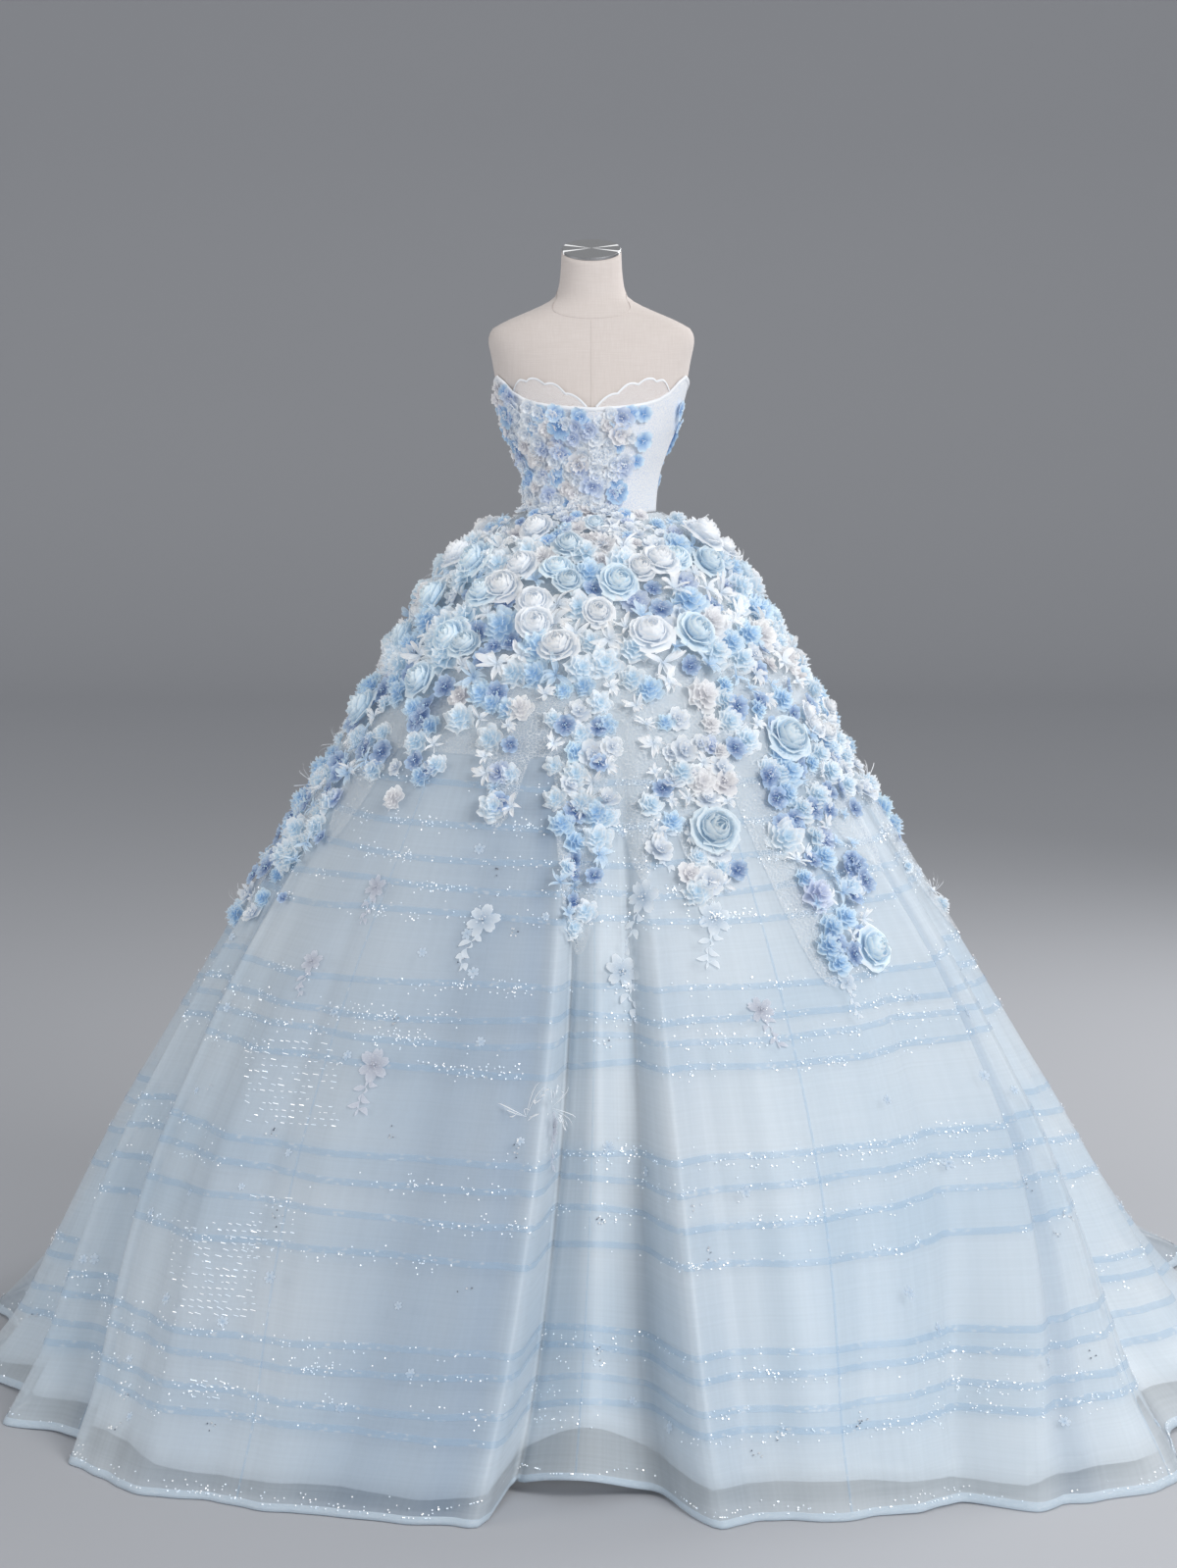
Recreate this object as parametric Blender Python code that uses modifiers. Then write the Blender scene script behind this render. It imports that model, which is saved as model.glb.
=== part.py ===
"""Strapless ball gown on a limbless dress form, in metres.

The origin is on the floor under the form's pole, +Z is up and the gown's front faces -Y.
A bearing is the angle round the pole in degrees: 0 is the front, 90 is +X, 180 the back.
The gown is built as its cut pieces: bodice panels, lace cups, lining gores, organza gores,
bindings and the net of organza blossoms that lies over the hips.
"""

import math
from collections import namedtuple

import bpy
from mathutils import Vector

# Driving sizes
WAIST_HEIGHT = 1.510
SEAM_GAP = 0.0005
LEAN_HEIGHT = 0.84
COLUMN_TURN = 5.5

CLOTH_THICKNESS = 0.0015
BODICE_THICKNESS = 0.0020
BODICE_CLEARANCE = 0.0016
LACE_THICKNESS = 0.0012
BINDING_THICKNESS = 0.0012
BINDING_GAP = 0.0004
HEM_BINDING_DEPTH = 0.015
NECK_BINDING_DEPTH = 0.006
HEM_CLEAR = 0.0010

LINING_HEM_HEIGHT = 0.060
LINING_GAP_WAIST = 0.0024
LINING_GAP_HEM = 0.0300

MANTLE_WALL = 0.0030
MANTLE_GAP_TOP = 0.0006
MANTLE_GAP = 0.0045
TRAIL_GAP = 0.0110

BASE_RADIUS = 0.200
BASE_THICKNESS = 0.012
POLE_RADIUS = 0.016
POLE_FLANGE_RADIUS = 0.055
POLE_FLANGE_THICKNESS = 0.006
CAP_THICKNESS = 0.005

# Dress form: level rings, a ring of the neck's end is tilted towards the front
FormRing = namedtuple("FormRing", "height half_width half_depth tilt_deg")
FORM_RINGS = (
    FormRing(1.300, 0.150, 0.108, 0),
    FormRing(1.312, 0.156, 0.114, 0),
    FormRing(1.370, 0.156, 0.114, 0),
    FormRing(1.430, 0.139, 0.101, 0),
    FormRing(1.480, 0.117, 0.087, 0),
    FormRing(1.510, 0.112, 0.084, 0),
    FormRing(1.545, 0.114, 0.086, 0),
    FormRing(1.577, 0.119, 0.091, 0),
    FormRing(1.623, 0.134, 0.105, 0),
    FormRing(1.661, 0.149, 0.114, 0),
    FormRing(1.700, 0.160, 0.116, 0),
    FormRing(1.736, 0.169, 0.108, 0),
    FormRing(1.780, 0.177, 0.097, 0),
    FormRing(1.815, 0.183, 0.084, 0),
    FormRing(1.832, 0.178, 0.077, 0),
    FormRing(1.848, 0.152, 0.072, 0),
    FormRing(1.862, 0.120, 0.068, 0),
    FormRing(1.876, 0.088, 0.063, 2),
    FormRing(1.892, 0.064, 0.058, 5),
    FormRing(1.915, 0.057, 0.055, 10),
    FormRing(1.945, 0.054, 0.053, 16),
    FormRing(1.971, 0.053, 0.053, 20),
)
FORM_COLUMNS = 40
FORM_LEVELS = 9

# Top edge of the bodice, and the lace that stands above it
NeckPoint = namedtuple("NeckPoint", "bearing height")
NECKLINE = (
    NeckPoint(0, 1.697),
    NeckPoint(20, 1.700),
    NeckPoint(42, 1.708),
    NeckPoint(62, 1.726),
    NeckPoint(84, 1.752),
    NeckPoint(100, 1.742),
    NeckPoint(125, 1.700),
    NeckPoint(155, 1.672),
    NeckPoint(180, 1.668),
)
LacePoint = namedtuple("LacePoint", "bearing rise")
LACE_EDGE = (
    LacePoint(5, 0.0055),
    LacePoint(12, 0.016),
    LacePoint(20, 0.030),
    LacePoint(30, 0.036),
    LacePoint(40, 0.037),
    LacePoint(50, 0.031),
    LacePoint(60, 0.017),
    LacePoint(68, 0.006),
)
LACE_SCALLOPS = 6
LACE_SCALLOP_DEPTH = 0.004
BODICE_COLUMNS = FORM_COLUMNS
BODICE_HEIGHTS = 9

# Skirt: radius of the smooth cone, depth against width, and how far folds and train have grown
SkirtRing = namedtuple("SkirtRing", "height radius depth_ratio fold_share train_share")
SKIRT_RINGS = (
    SkirtRing(1.510, 0.1175, 0.76, 0.00, 0.00),
    SkirtRing(1.480, 0.168, 0.83, 0.00, 0.00),
    SkirtRing(1.440, 0.217, 0.90, 0.00, 0.00),
    SkirtRing(1.380, 0.268, 0.95, 0.00, 0.00),
    SkirtRing(1.300, 0.322, 0.98, 0.01, 0.00),
    SkirtRing(1.190, 0.392, 1.00, 0.02, 0.00),
    SkirtRing(1.050, 0.475, 1.00, 0.05, 0.00),
    SkirtRing(0.910, 0.562, 1.00, 0.12, 0.00),
    SkirtRing(0.720, 0.675, 1.00, 0.28, 0.01),
    SkirtRing(0.580, 0.754, 1.00, 0.43, 0.03),
    SkirtRing(0.460, 0.820, 1.00, 0.60, 0.07),
    SkirtRing(0.335, 0.882, 1.00, 0.74, 0.15),
    SkirtRing(0.197, 0.944, 1.00, 0.88, 0.33),
    SkirtRing(0.107, 0.986, 1.00, 0.95, 0.56),
    SkirtRing(0.000, 1.060, 1.00, 1.00, 1.00),
)

# Plan of the smooth skirt at the floor: what the cone gains there, most of it in the train
TrainPoint = namedtuple("TrainPoint", "bearing reach")
TRAIN = (
    TrainPoint(-180, 0.46),
    TrainPoint(-150, 0.38),
    TrainPoint(-125, 0.18),
    TrainPoint(-100, 0.05),
    TrainPoint(-70, 0.03),
    TrainPoint(-40, 0.05),
    TrainPoint(0, 0.04),
    TrainPoint(30, 0.08),
    TrainPoint(50, 0.16),
    TrainPoint(80, 0.14),
    TrainPoint(105, 0.12),
    TrainPoint(130, 0.36),
    TrainPoint(155, 0.44),
)

# Folds at the hem: each row is a crest or hollow with its bearing at the hem, its bearing
# from LEAN_HEIGHT up, its radius and lift at the floor, and whether a seam runs along it
HemPoint = namedtuple("HemPoint", "name bearing upper_bearing radius lift seam")
HEM = (
    HemPoint("train hollow middle", -174.0, -174.0, 1.460, 0.010, False),
    HemPoint("train fold left", -160.0, -160.0, 1.540, 0.000, False),
    HemPoint("train hollow left", -147.0, -147.0, 1.370, 0.008, True),
    HemPoint("left train fold", -132.0, -133.0, 1.350, 0.000, False),
    HemPoint("left train hollow", -117.0, -120.0, 1.110, 0.010, True),
    HemPoint("left back fold", -102.0, -108.0, 1.150, 0.000, False),
    HemPoint("left back hollow", -89.0, -98.0, 1.055, 0.008, True),
    HemPoint("left side fold", -77.0, -88.0, 1.125, 0.000, False),
    HemPoint("left side hollow", -68.0, -81.0, 1.060, 0.005, False),
    HemPoint("left second flute", -60.0, -74.5, 1.130, 0.000, False),
    HemPoint("left hollow", -52.5, -68.5, 1.080, 0.004, True),
    HemPoint("left main fold edge", -47.0, -63.0, 1.146, 0.000, False),
    HemPoint("left main fold", -38.5, -50.0, 1.185, 0.000, False),
    HemPoint("left broad fold", -29.0, -37.0, 1.150, 0.000, True),
    HemPoint("left front", -18.5, -15.5, 1.132, 0.000, False),
    HemPoint("left of centre crest", -9.2, -4.6, 1.110, 0.000, False),
    HemPoint("centre hollow left", -6.6, -3.0, 0.945, 0.014, False),
    HemPoint("centre column", -1.5, 0.5, 0.965, 0.032, True),
    HemPoint("centre hollow right", 5.3, 5.0, 0.955, 0.008, False),
    HemPoint("right of centre crest", 10.2, 9.5, 1.128, 0.000, False),
    HemPoint("right front dip", 15.5, 18.0, 1.118, 0.000, False),
    HemPoint("right soft fold", 20.5, 28.0, 1.154, 0.000, True),
    HemPoint("right hollow", 30.0, 47.0, 1.152, 0.002, False),
    HemPoint("right main fold", 34.0, 59.0, 1.240, 0.000, False),
    HemPoint("right main fold back", 46.0, 68.0, 1.290, 0.000, True),
    HemPoint("right side hollow", 58.0, 76.0, 1.150, 0.006, False),
    HemPoint("right side fold", 70.0, 84.0, 1.240, 0.000, False),
    HemPoint("right back hollow", 82.0, 92.0, 1.120, 0.006, True),
    HemPoint("right back fold", 94.0, 101.0, 1.210, 0.000, False),
    HemPoint("right train hollow", 106.0, 110.0, 1.120, 0.008, False),
    HemPoint("right train fold", 119.0, 121.0, 1.350, 0.000, True),
    HemPoint("train hollow right", 132.0, 133.0, 1.380, 0.010, False),
    HemPoint("train fold right", 145.0, 145.0, 1.550, 0.000, False),
    HemPoint("train hollow back", 158.0, 158.0, 1.460, 0.008, True),
    HemPoint("train fold middle", 172.0, 172.0, 1.570, 0.000, False),
)

# Roses that show most from the front: distance to the side of the middle, height and size
Rose = namedtuple("Rose", "across height radius rise")
ROSES = (
    Rose(-0.091, 1.472, 0.032, 0.030),
    Rose(0.115, 1.420, 0.034, 0.032),
    Rose(0.185, 1.450, 0.044, 0.036),
    Rose(0.045, 1.390, 0.036, 0.032),
    Rose(0.100, 1.300, 0.042, 0.038),
    Rose(-0.057, 1.280, 0.038, 0.036),
    Rose(-0.097, 1.355, 0.034, 0.034),
    Rose(0.254, 1.380, 0.036, 0.030),
    Rose(-0.192, 1.420, 0.038, 0.034),
    Rose(-0.255, 1.400, 0.034, 0.032),
    Rose(-0.263, 1.350, 0.038, 0.034),
    Rose(-0.236, 1.295, 0.040, 0.036),
    Rose(-0.320, 1.275, 0.038, 0.034),
    Rose(-0.288, 1.220, 0.036, 0.030),
    Rose(-0.370, 1.170, 0.040, 0.034),
    Rose(0.174, 1.305, 0.038, 0.032),
    Rose(0.335, 1.120, 0.044, 0.036),
    Rose(0.187, 1.200, 0.038, 0.030),
    Rose(0.209, 0.960, 0.042, 0.034),
    Rose(0.334, 0.950, 0.042, 0.030),
    Rose(0.450, 0.770, 0.040, 0.034),
    Rose(-0.525, 0.910, 0.040, 0.034),
    Rose(-0.020, 0.985, 0.040, 0.032),
    Rose(0.015, 1.100, 0.038, 0.030),
)

# Rings of smaller blossoms between the roses
BlossomRing = namedtuple("BlossomRing", "height count radius rise turn")
BLOSSOM_RINGS = (
    BlossomRing(1.485, 14, 0.026, 0.014, 3.0),
    BlossomRing(1.445, 18, 0.030, 0.020, 13.0),
    BlossomRing(1.385, 20, 0.034, 0.024, 4.0),
    BlossomRing(1.320, 24, 0.034, 0.024, 11.0),
    BlossomRing(1.250, 26, 0.034, 0.022, 2.0),
    BlossomRing(1.185, 26, 0.032, 0.020, 9.0),
)

# Trails of blossoms that hang below the mantle's edge
Trail = namedtuple("Trail", "bearing low_height half_width")
MANTLE_EDGE_HEIGHT = 1.165
TRAILS = (
    Trail(-80, 0.78, 13.0),
    Trail(-57, 0.95, 9.0),
    Trail(-18, 1.00, 5.5),
    Trail(-2, 0.80, 6.5),
    Trail(9, 0.92, 5.0),
    Trail(20, 0.88, 6.5),
    Trail(37, 0.74, 8.5),
    Trail(60, 0.90, 8.0),
    Trail(84, 0.76, 12.0),
    Trail(112, 0.92, 8.0),
    Trail(138, 0.80, 8.0),
    Trail(160, 0.96, 6.5),
    Trail(180, 0.82, 7.0),
    Trail(-158, 0.95, 6.5),
    Trail(-135, 0.82, 8.0),
    Trail(-110, 0.94, 8.0),
)
TRAIL_BLOSSOM_STEP = 0.060
TRAIL_BLOSSOM_RADIUS = 0.032
TRAIL_BLOSSOM_RISE = 0.020
MANTLE_HEIGHTS = (1.510, 1.480, 1.445, 1.405, 1.360, 1.311, 1.262, 1.213, MANTLE_EDGE_HEIGHT)
MANTLE_COLUMNS = 96
MANTLE_HEM_DROP = 0.050
TRAIL_ROWS = 3
BLOSSOM_SHARES = {0: 0.0, 1: 0.45, 2: 0.8}

# Blossoms of the bodice: rows over the front and back, the right front panel is left bare
BodiceRow = namedtuple("BodiceRow", "height from_bearing to_bearing count")
BODICE_ROWS = (
    BodiceRow(1.535, -50, 30, 5),
    BodiceRow(1.565, -60, 34, 6),
    BodiceRow(1.600, -54, 32, 6),
    BodiceRow(1.635, -72, 40, 7),
    BodiceRow(1.672, -84, 50, 8),
    BodiceRow(1.700, -88, -72, 2),
    BodiceRow(1.705, 80, 92, 2),
    BodiceRow(1.550, 140, 220, 5),
    BodiceRow(1.600, 135, 225, 6),
    BodiceRow(1.640, 145, 215, 5),
)
BODICE_BLOSSOM_RADIUS = 0.024
BODICE_BLOSSOM_RISE = 0.009

# Row heights of the skirt walls, as nominal heights before a fold lifts the hem
OVERSKIRT_HEIGHTS = (1.510, 1.470, 1.390, 1.270, 1.110, 0.900, 0.660, 0.400, 0.170, HEM_BINDING_DEPTH, 0.0)
LINING_HEIGHTS = (1.508, 1.390, 1.110, 0.660, 0.400, 0.170, LINING_HEM_HEIGHT)

Finish = namedtuple("Finish", "name colour roughness metallic")
ORGANZA = Finish("ice_blue_organza", (0.58, 0.70, 0.82), 0.55, 0.0)
SATIN = Finish("pale_satin_lining", (0.70, 0.78, 0.86), 0.45, 0.0)
BINDING = Finish("blue_bound_edge", (0.45, 0.63, 0.82), 0.50, 0.0)
BLOSSOM = Finish("organza_blossoms", (0.62, 0.74, 0.90), 0.70, 0.0)
BODICE = Finish("beaded_bodice_net", (0.78, 0.82, 0.90), 0.60, 0.0)
LACE = Finish("nude_beaded_lace", (0.86, 0.79, 0.76), 0.65, 0.0)
PIPING = Finish("white_piping", (0.90, 0.91, 0.93), 0.50, 0.0)
LINEN = Finish("ivory_linen_cover", (0.80, 0.74, 0.69), 0.85, 0.0)
STEEL = Finish("brushed_steel", (0.42, 0.43, 0.45), 0.35, 1.0)
ENAMEL = Finish("white_enamelled_steel", (0.80, 0.80, 0.80), 0.40, 0.0)


def clear_scene():
    """Removes what a new file holds."""
    for thing in list(bpy.data.objects):
        bpy.data.objects.remove(thing, do_unlink=True)


def gown_collection():
    """Makes the collection that holds every piece."""
    collection = bpy.data.collections.new("ball_gown_on_dress_form")
    bpy.context.scene.collection.children.link(collection)
    return collection


def material_for(finish):
    """Returns the finish's material, made once."""
    material = bpy.data.materials.get(finish.name)
    if material is None:
        material = bpy.data.materials.new(finish.name)
        material.use_nodes = True
        shader = material.node_tree.nodes["Principled BSDF"]
        shader.inputs["Base Color"].default_value = (*finish.colour, 1.0)
        shader.inputs["Roughness"].default_value = finish.roughness
        shader.inputs["Metallic"].default_value = finish.metallic
    return material


def add_piece(name, vertices, faces, finish, smooth_angle=50):
    """Adds one named piece from its points and faces."""
    mesh = bpy.data.meshes.new(name)
    mesh.from_pydata(vertices, [], faces)
    mesh.validate()
    mesh.shade_smooth()
    mesh.set_sharp_from_angle(angle=math.radians(smooth_angle))
    mesh.materials.append(material_for(finish))
    piece = bpy.data.objects.new(name, mesh)
    GOWN.objects.link(piece)
    return piece


def between_rows(rows, key, column, at, period=None):
    """Reads a column between a table's rows on a smooth curve that never overshoots."""
    points = [(getattr(row, key), getattr(row, column)) for row in rows]
    points.sort()
    if period:
        before = [(x - period, y) for x, y in points[-3:]]
        after = [(x + period, y) for x, y in points[:3]]
        points = before + points + after
        at = (at - points[3][0]) % period + points[3][0]
    if at <= points[0][0]:
        return points[0][1]
    if at >= points[-1][0]:
        return points[-1][1]
    last = max(i for i in range(len(points) - 1) if points[i][0] <= at)
    slopes = [(after[1] - here[1]) / (after[0] - here[0]) for here, after in zip(points, points[1:])]

    def tangent(i):
        if i in (0, len(points) - 1):
            return slopes[min(i, len(slopes) - 1)]
        left, right = slopes[i - 1], slopes[i]
        return 0.0 if left * right <= 0 else 2 * left * right / (left + right)

    span = points[last + 1][0] - points[last][0]
    u = (at - points[last][0]) / span
    return (
        (1 + 2 * u) * (1 - u) ** 2 * points[last][1]
        + u * (1 - u) ** 2 * span * tangent(last)
        + u * u * (3 - 2 * u) * points[last + 1][1]
        + u * u * (u - 1) * span * tangent(last + 1)
    )


def turn_between(bearing, other):
    """Signed angle in degrees from one bearing to another, -180 to 180."""
    return (bearing - other + 180.0) % 360.0 - 180.0


def at_bearing(bearing, across, ahead, height):
    """Point of an ellipse with these half axes at a bearing."""
    angle = math.radians(bearing)
    return Vector((across * math.sin(angle), -ahead * math.cos(angle), height))


# Skirt surface

LeanPoint = namedtuple("LeanPoint", "bearing upper_bearing lean")
LEAN = tuple(LeanPoint(row.bearing, row.upper_bearing, row.upper_bearing - row.bearing) for row in HEM)


def lean_share(height):
    """How much of a fold's lean is reached at a height: none at the hem, all from LEAN_HEIGHT up."""
    return 1.0 - (1.0 - min(1.0, height / LEAN_HEIGHT)) ** 1.7


def leaning(bearing, height):
    """Bearing at a height of the fold line that meets the hem at this bearing."""
    lean = between_rows(LEAN, "bearing", "lean", bearing, period=360.0)
    return bearing + lean * lean_share(height)


def hem_bearing(upper_bearing):
    """Bearing at the hem of the fold line that has this bearing from LEAN_HEIGHT up."""
    lean = between_rows(LEAN, "upper_bearing", "lean", upper_bearing, period=360.0)
    return upper_bearing - lean


def skirt_point(bearing, height):
    """Point of the organza's outer face on a fold line, named by its bearing at the hem."""

    def ring(column):
        return between_rows(SKIRT_RINGS, "height", column, height)

    train = between_rows(TRAIN, "bearing", "reach", bearing, period=360.0)
    hem_radius = between_rows(HEM, "bearing", "radius", bearing, period=360.0)
    fold = hem_radius - SKIRT_RINGS[-1].radius - train
    lift = between_rows(HEM, "bearing", "lift", bearing, period=360.0)
    angle = math.radians(leaning(bearing, height))
    roundness = 1.0 / math.hypot(math.sin(angle), math.cos(angle) / ring("depth_ratio"))
    radius = ring("radius") * roundness + fold * ring("fold_share") + train * ring("train_share")
    lifted = (lift + HEM_CLEAR) * (1.0 - height / WAIST_HEIGHT) ** 3
    return Vector((radius * math.sin(angle), -radius * math.cos(angle), height + lifted))


def outward(surface, bearing, height):
    """Unit vector that points out of a surface."""
    step_turn, step_down = 1.5, 0.006
    low = max(height - step_down, 0.0)
    high = min(height + step_down, WAIST_HEIGHT) if surface is skirt_point else height + step_down
    sideways = surface(bearing + step_turn, height) - surface(bearing - step_turn, height)
    upwards = surface(bearing, high) - surface(bearing, low)
    return sideways.cross(upwards).normalized()


# Walls


def wall(name, outer, inner, finish, smooth_angle=50):
    """Closed wall between an outer and an inner grid of points of the same size."""
    rows, columns = len(outer), len(outer[0])
    vertices = [point for row in outer for point in row] + [point for row in inner for point in row]
    far = rows * columns

    def index(row, column):
        return row * columns + column

    faces = []
    for row in range(rows - 1):
        for column in range(columns - 1):
            a, b = index(row, column), index(row, column + 1)
            c, d = index(row + 1, column + 1), index(row + 1, column)
            faces.append((d, c, b))
            faces.append((d, b, a))
            faces.append((far + a, far + b, far + d))
            faces.append((far + b, far + c, far + d))
    top = [index(0, column) for column in range(columns)]
    right = [index(row, columns - 1) for row in range(rows)]
    bottom = [index(rows - 1, column) for column in reversed(range(columns))]
    left = [index(row, 0) for row in reversed(range(rows))]
    for edge in (top, right, bottom):
        for a, b in zip(edge, edge[1:]):
            faces.append((a, b, far + b))
            faces.append((a, far + b, far + a))
    for a, b in zip(left, left[1:]):
        faces.append((a, b, far + a))
        faces.append((b, far + b, far + a))
    return add_piece(name, vertices, faces, finish, smooth_angle)


def part_at_seams(grid, gap=SEAM_GAP):
    """Draws a grid's first and last columns in along its own faces, by half a seam's gap."""
    for row in grid:
        for edge, beside in ((0, 1), (-1, -2)):
            along = row[beside] - row[edge]
            row[edge] = row[edge] + along.normalized() * (gap / 2)
    return grid


def grid_pair(bearings, heights, surface, offsets):
    """Outer and inner grids of a wall: offsets(bearing, height) gives both distances out."""
    outer, inner = [], []
    for height in heights:
        outer_row, inner_row = [], []
        for bearing in bearings:
            level = height(bearing) if callable(height) else height
            point, normal = surface(bearing, level), outward(surface, bearing, level)
            far, near = offsets(bearing, level)
            outer_row.append(point + normal * far)
            inner_row.append(point + normal * near)
        outer.append(outer_row)
        inner.append(inner_row)
    return part_at_seams(outer), part_at_seams(inner)


def skirt_columns():
    """Columns round the skirt: every crest and hollow of the hem, with even steps between them."""
    columns, seams = [], []
    for here, after in zip(HEM, HEM[1:] + HEM[:1]):
        if here.seam:
            seams.append(len(columns))
        turn = (after.bearing - here.bearing) % 360.0
        steps = max(2, round(turn / COLUMN_TURN))
        columns += [here.bearing + turn * step / steps for step in range(steps)]
    return columns, seams


def gore_bearings():
    """Bearings of the columns of each gore, from seam to seam."""
    columns, seams = skirt_columns()
    twice_round = columns + [column + 360.0 for column in columns]
    ends = seams[1:] + [seams[0] + len(columns)]
    return [twice_round[first : last + 1] for first, last in zip(seams, ends)]


def cloth_faces(bearing, height):
    """How far a skirt wall's outer and inner faces lie out from its surface, the same all over."""
    return 0.0, -CLOTH_THICKNESS


def make_overskirt():
    """Organza gores from the waist to the floor."""
    for number, bearings in enumerate(gore_bearings(), 1):
        outer, inner = grid_pair(bearings, OVERSKIRT_HEIGHTS, skirt_point, cloth_faces)
        wall(f"overskirt_{number}", outer, level_edges(inner, outer), ORGANZA, 80)


def level_edges(inner, outer):
    """Gives an inner grid the outer grid's height along its top and bottom rows."""
    for row in (0, -1):
        for inside, outside in zip(inner[row], outer[row]):
            inside.z = outside.z
    return inner


def lining_point(bearing, height):
    """Point of the lining's outer face: the organza's points, moved in towards the pole."""
    point = skirt_point(bearing, height)
    share = 1.0 - height / WAIST_HEIGHT
    gap = LINING_GAP_WAIST + (LINING_GAP_HEM - LINING_GAP_WAIST) * min(1.0, share * 4)
    flat = Vector((point.x, point.y, 0.0))
    return point - flat.normalized() * gap


def make_lining():
    """Opaque underskirt gores, their hem above the floor."""
    for number, bearings in enumerate(gore_bearings(), 1):
        outer, inner = grid_pair(bearings, LINING_HEIGHTS, lining_point, cloth_faces)
        wall(f"skirt_lining_{number}", outer, level_edges(inner, outer), SATIN, 80)


def make_hem_binding():
    """Bound edge along the organza's hem, a length for each gore."""
    near = BINDING_GAP
    far = BINDING_GAP + BINDING_THICKNESS
    for number, bearings in enumerate(gore_bearings(), 1):
        outer, inner = grid_pair(bearings, (HEM_BINDING_DEPTH, 0.0), skirt_point, lambda b, h: (far, near))
        hem = [skirt_point(bearing, 0.0).z for bearing in bearings]
        for grid in (outer, inner):
            for point, level in zip(grid[-1], hem):
                point.z = level
        wall(f"hem_binding_{number}", outer, inner, BINDING, 80)


# Blossom mantle


def front_bearing(across, height):
    """Bearing of a point on the skirt's front half that is this far to the side."""
    radius = between_rows(SKIRT_RINGS, "height", "radius", height)
    return math.degrees(math.asin(max(-1.0, min(1.0, across / radius))))


def mantle_low(upper_bearing):
    """Height of the mantle's lower edge: a plain edge with trails that hang from it."""
    drop = MANTLE_HEM_DROP
    for trail in TRAILS:
        turn = turn_between(upper_bearing, trail.bearing)
        if abs(turn) < trail.half_width:
            depth = (MANTLE_EDGE_HEIGHT - trail.low_height) * math.cos(math.pi / 2 * turn / trail.half_width)
            drop = max(drop, depth)
    return MANTLE_EDGE_HEIGHT - drop


Bloom = namedtuple("Bloom", "middle radius rise")


def on_skirt(upper_bearing, height):
    """Point of the skirt on the fold line that has this bearing from LEAN_HEIGHT up."""
    return skirt_point(hem_bearing(upper_bearing), height)


def mantle_blooms():
    """Every blossom on the skirt: the roses, front and back, the rings and the trails."""
    blooms = []
    for rose in ROSES:
        bearing = front_bearing(rose.across, rose.height)
        for turned_by in (0.0, 180.0):
            blooms.append(Bloom(on_skirt(bearing + turned_by, rose.height), rose.radius, rose.rise))
    for ring in BLOSSOM_RINGS:
        for number in range(ring.count):
            bearing = ring.turn + 360.0 * number / ring.count
            size = 1.0 + 0.18 * math.sin(2.4 * number + ring.turn)
            blooms.append(Bloom(on_skirt(bearing, ring.height), ring.radius * size, ring.rise * size))
    for trail in TRAILS:
        steps = int((MANTLE_EDGE_HEIGHT - trail.low_height) / TRAIL_BLOSSOM_STEP)
        for step in range(steps):
            height = MANTLE_EDGE_HEIGHT - TRAIL_BLOSSOM_STEP * (step + 0.3)
            sway = 0.28 * trail.half_width * math.sin(2.1 * step + trail.bearing)
            centre = on_skirt(trail.bearing + sway, height)
            blooms.append(Bloom(centre, TRAIL_BLOSSOM_RADIUS, TRAIL_BLOSSOM_RISE))
    return blooms


def bloom_rise(point, blooms):
    """How far the highest blossom over a point stands out: a round dome for each blossom."""
    rise = 0.0
    for bloom in blooms:
        share = (point - bloom.middle).length / bloom.radius
        if share < 1.0:
            rise = max(rise, bloom.rise * math.sqrt(1.0 - share * share))
    return rise


def mantle_gap(row):
    """Gap between the net and the skirt: closest at the waist seam, widest under the trails."""
    if row == 0:
        return MANTLE_GAP_TOP
    return TRAIL_GAP if row >= len(MANTLE_HEIGHTS) else MANTLE_GAP


def make_mantle():
    """Net of organza roses over the hips, in four lengths round the skirt."""
    blooms = mantle_blooms()
    length = MANTLE_COLUMNS // 4
    step = 360.0 / MANTLE_COLUMNS
    rows = len(MANTLE_HEIGHTS) + TRAIL_ROWS
    for part, side in enumerate(("left", "front", "right", "back")):
        uppers = [-135.0 + step * (part * length + column) for column in range(length + 1)]
        outer, inner = [], []
        for row in range(rows):
            outer_row, inner_row = [], []
            for upper in uppers:
                if row < len(MANTLE_HEIGHTS):
                    height = MANTLE_HEIGHTS[row]
                else:
                    share = (row + 1 - len(MANTLE_HEIGHTS)) / TRAIL_ROWS
                    height = MANTLE_EDGE_HEIGHT + (mantle_low(upper) - MANTLE_EDGE_HEIGHT) * share
                bearing = hem_bearing(upper)
                point, normal = skirt_point(bearing, height), outward(skirt_point, bearing, height)
                share = 0.0 if row == rows - 1 else BLOSSOM_SHARES.get(row, 1.0)
                rise = bloom_rise(point, blooms) * share
                gap = mantle_gap(row)
                inner_row.append(point + normal * gap)
                outer_row.append(point + normal * (gap + MANTLE_WALL + rise))
            outer.append(outer_row)
            inner.append(inner_row)
        wall(f"blossom_mantle_{side}", part_at_seams(outer), part_at_seams(inner), BLOSSOM, 80)


# Bodice


def neckline_height(bearing):
    """Height of the bodice's top edge, which runs straight between the bodice's columns."""
    step = 360.0 / BODICE_COLUMNS
    first = math.floor(bearing / step)
    share = bearing / step - first

    def at_column(column):
        return between_rows(NECKLINE, "bearing", "height", abs(turn_between(column * step, 0.0)))

    return at_column(first) * (1.0 - share) + at_column(first + 1) * share


def form_size(height):
    """Half width and half depth of the form at a height."""
    columns = ("half_width", "half_depth")
    return tuple(between_rows(FORM_RINGS, "height", column, height) for column in columns)


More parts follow.
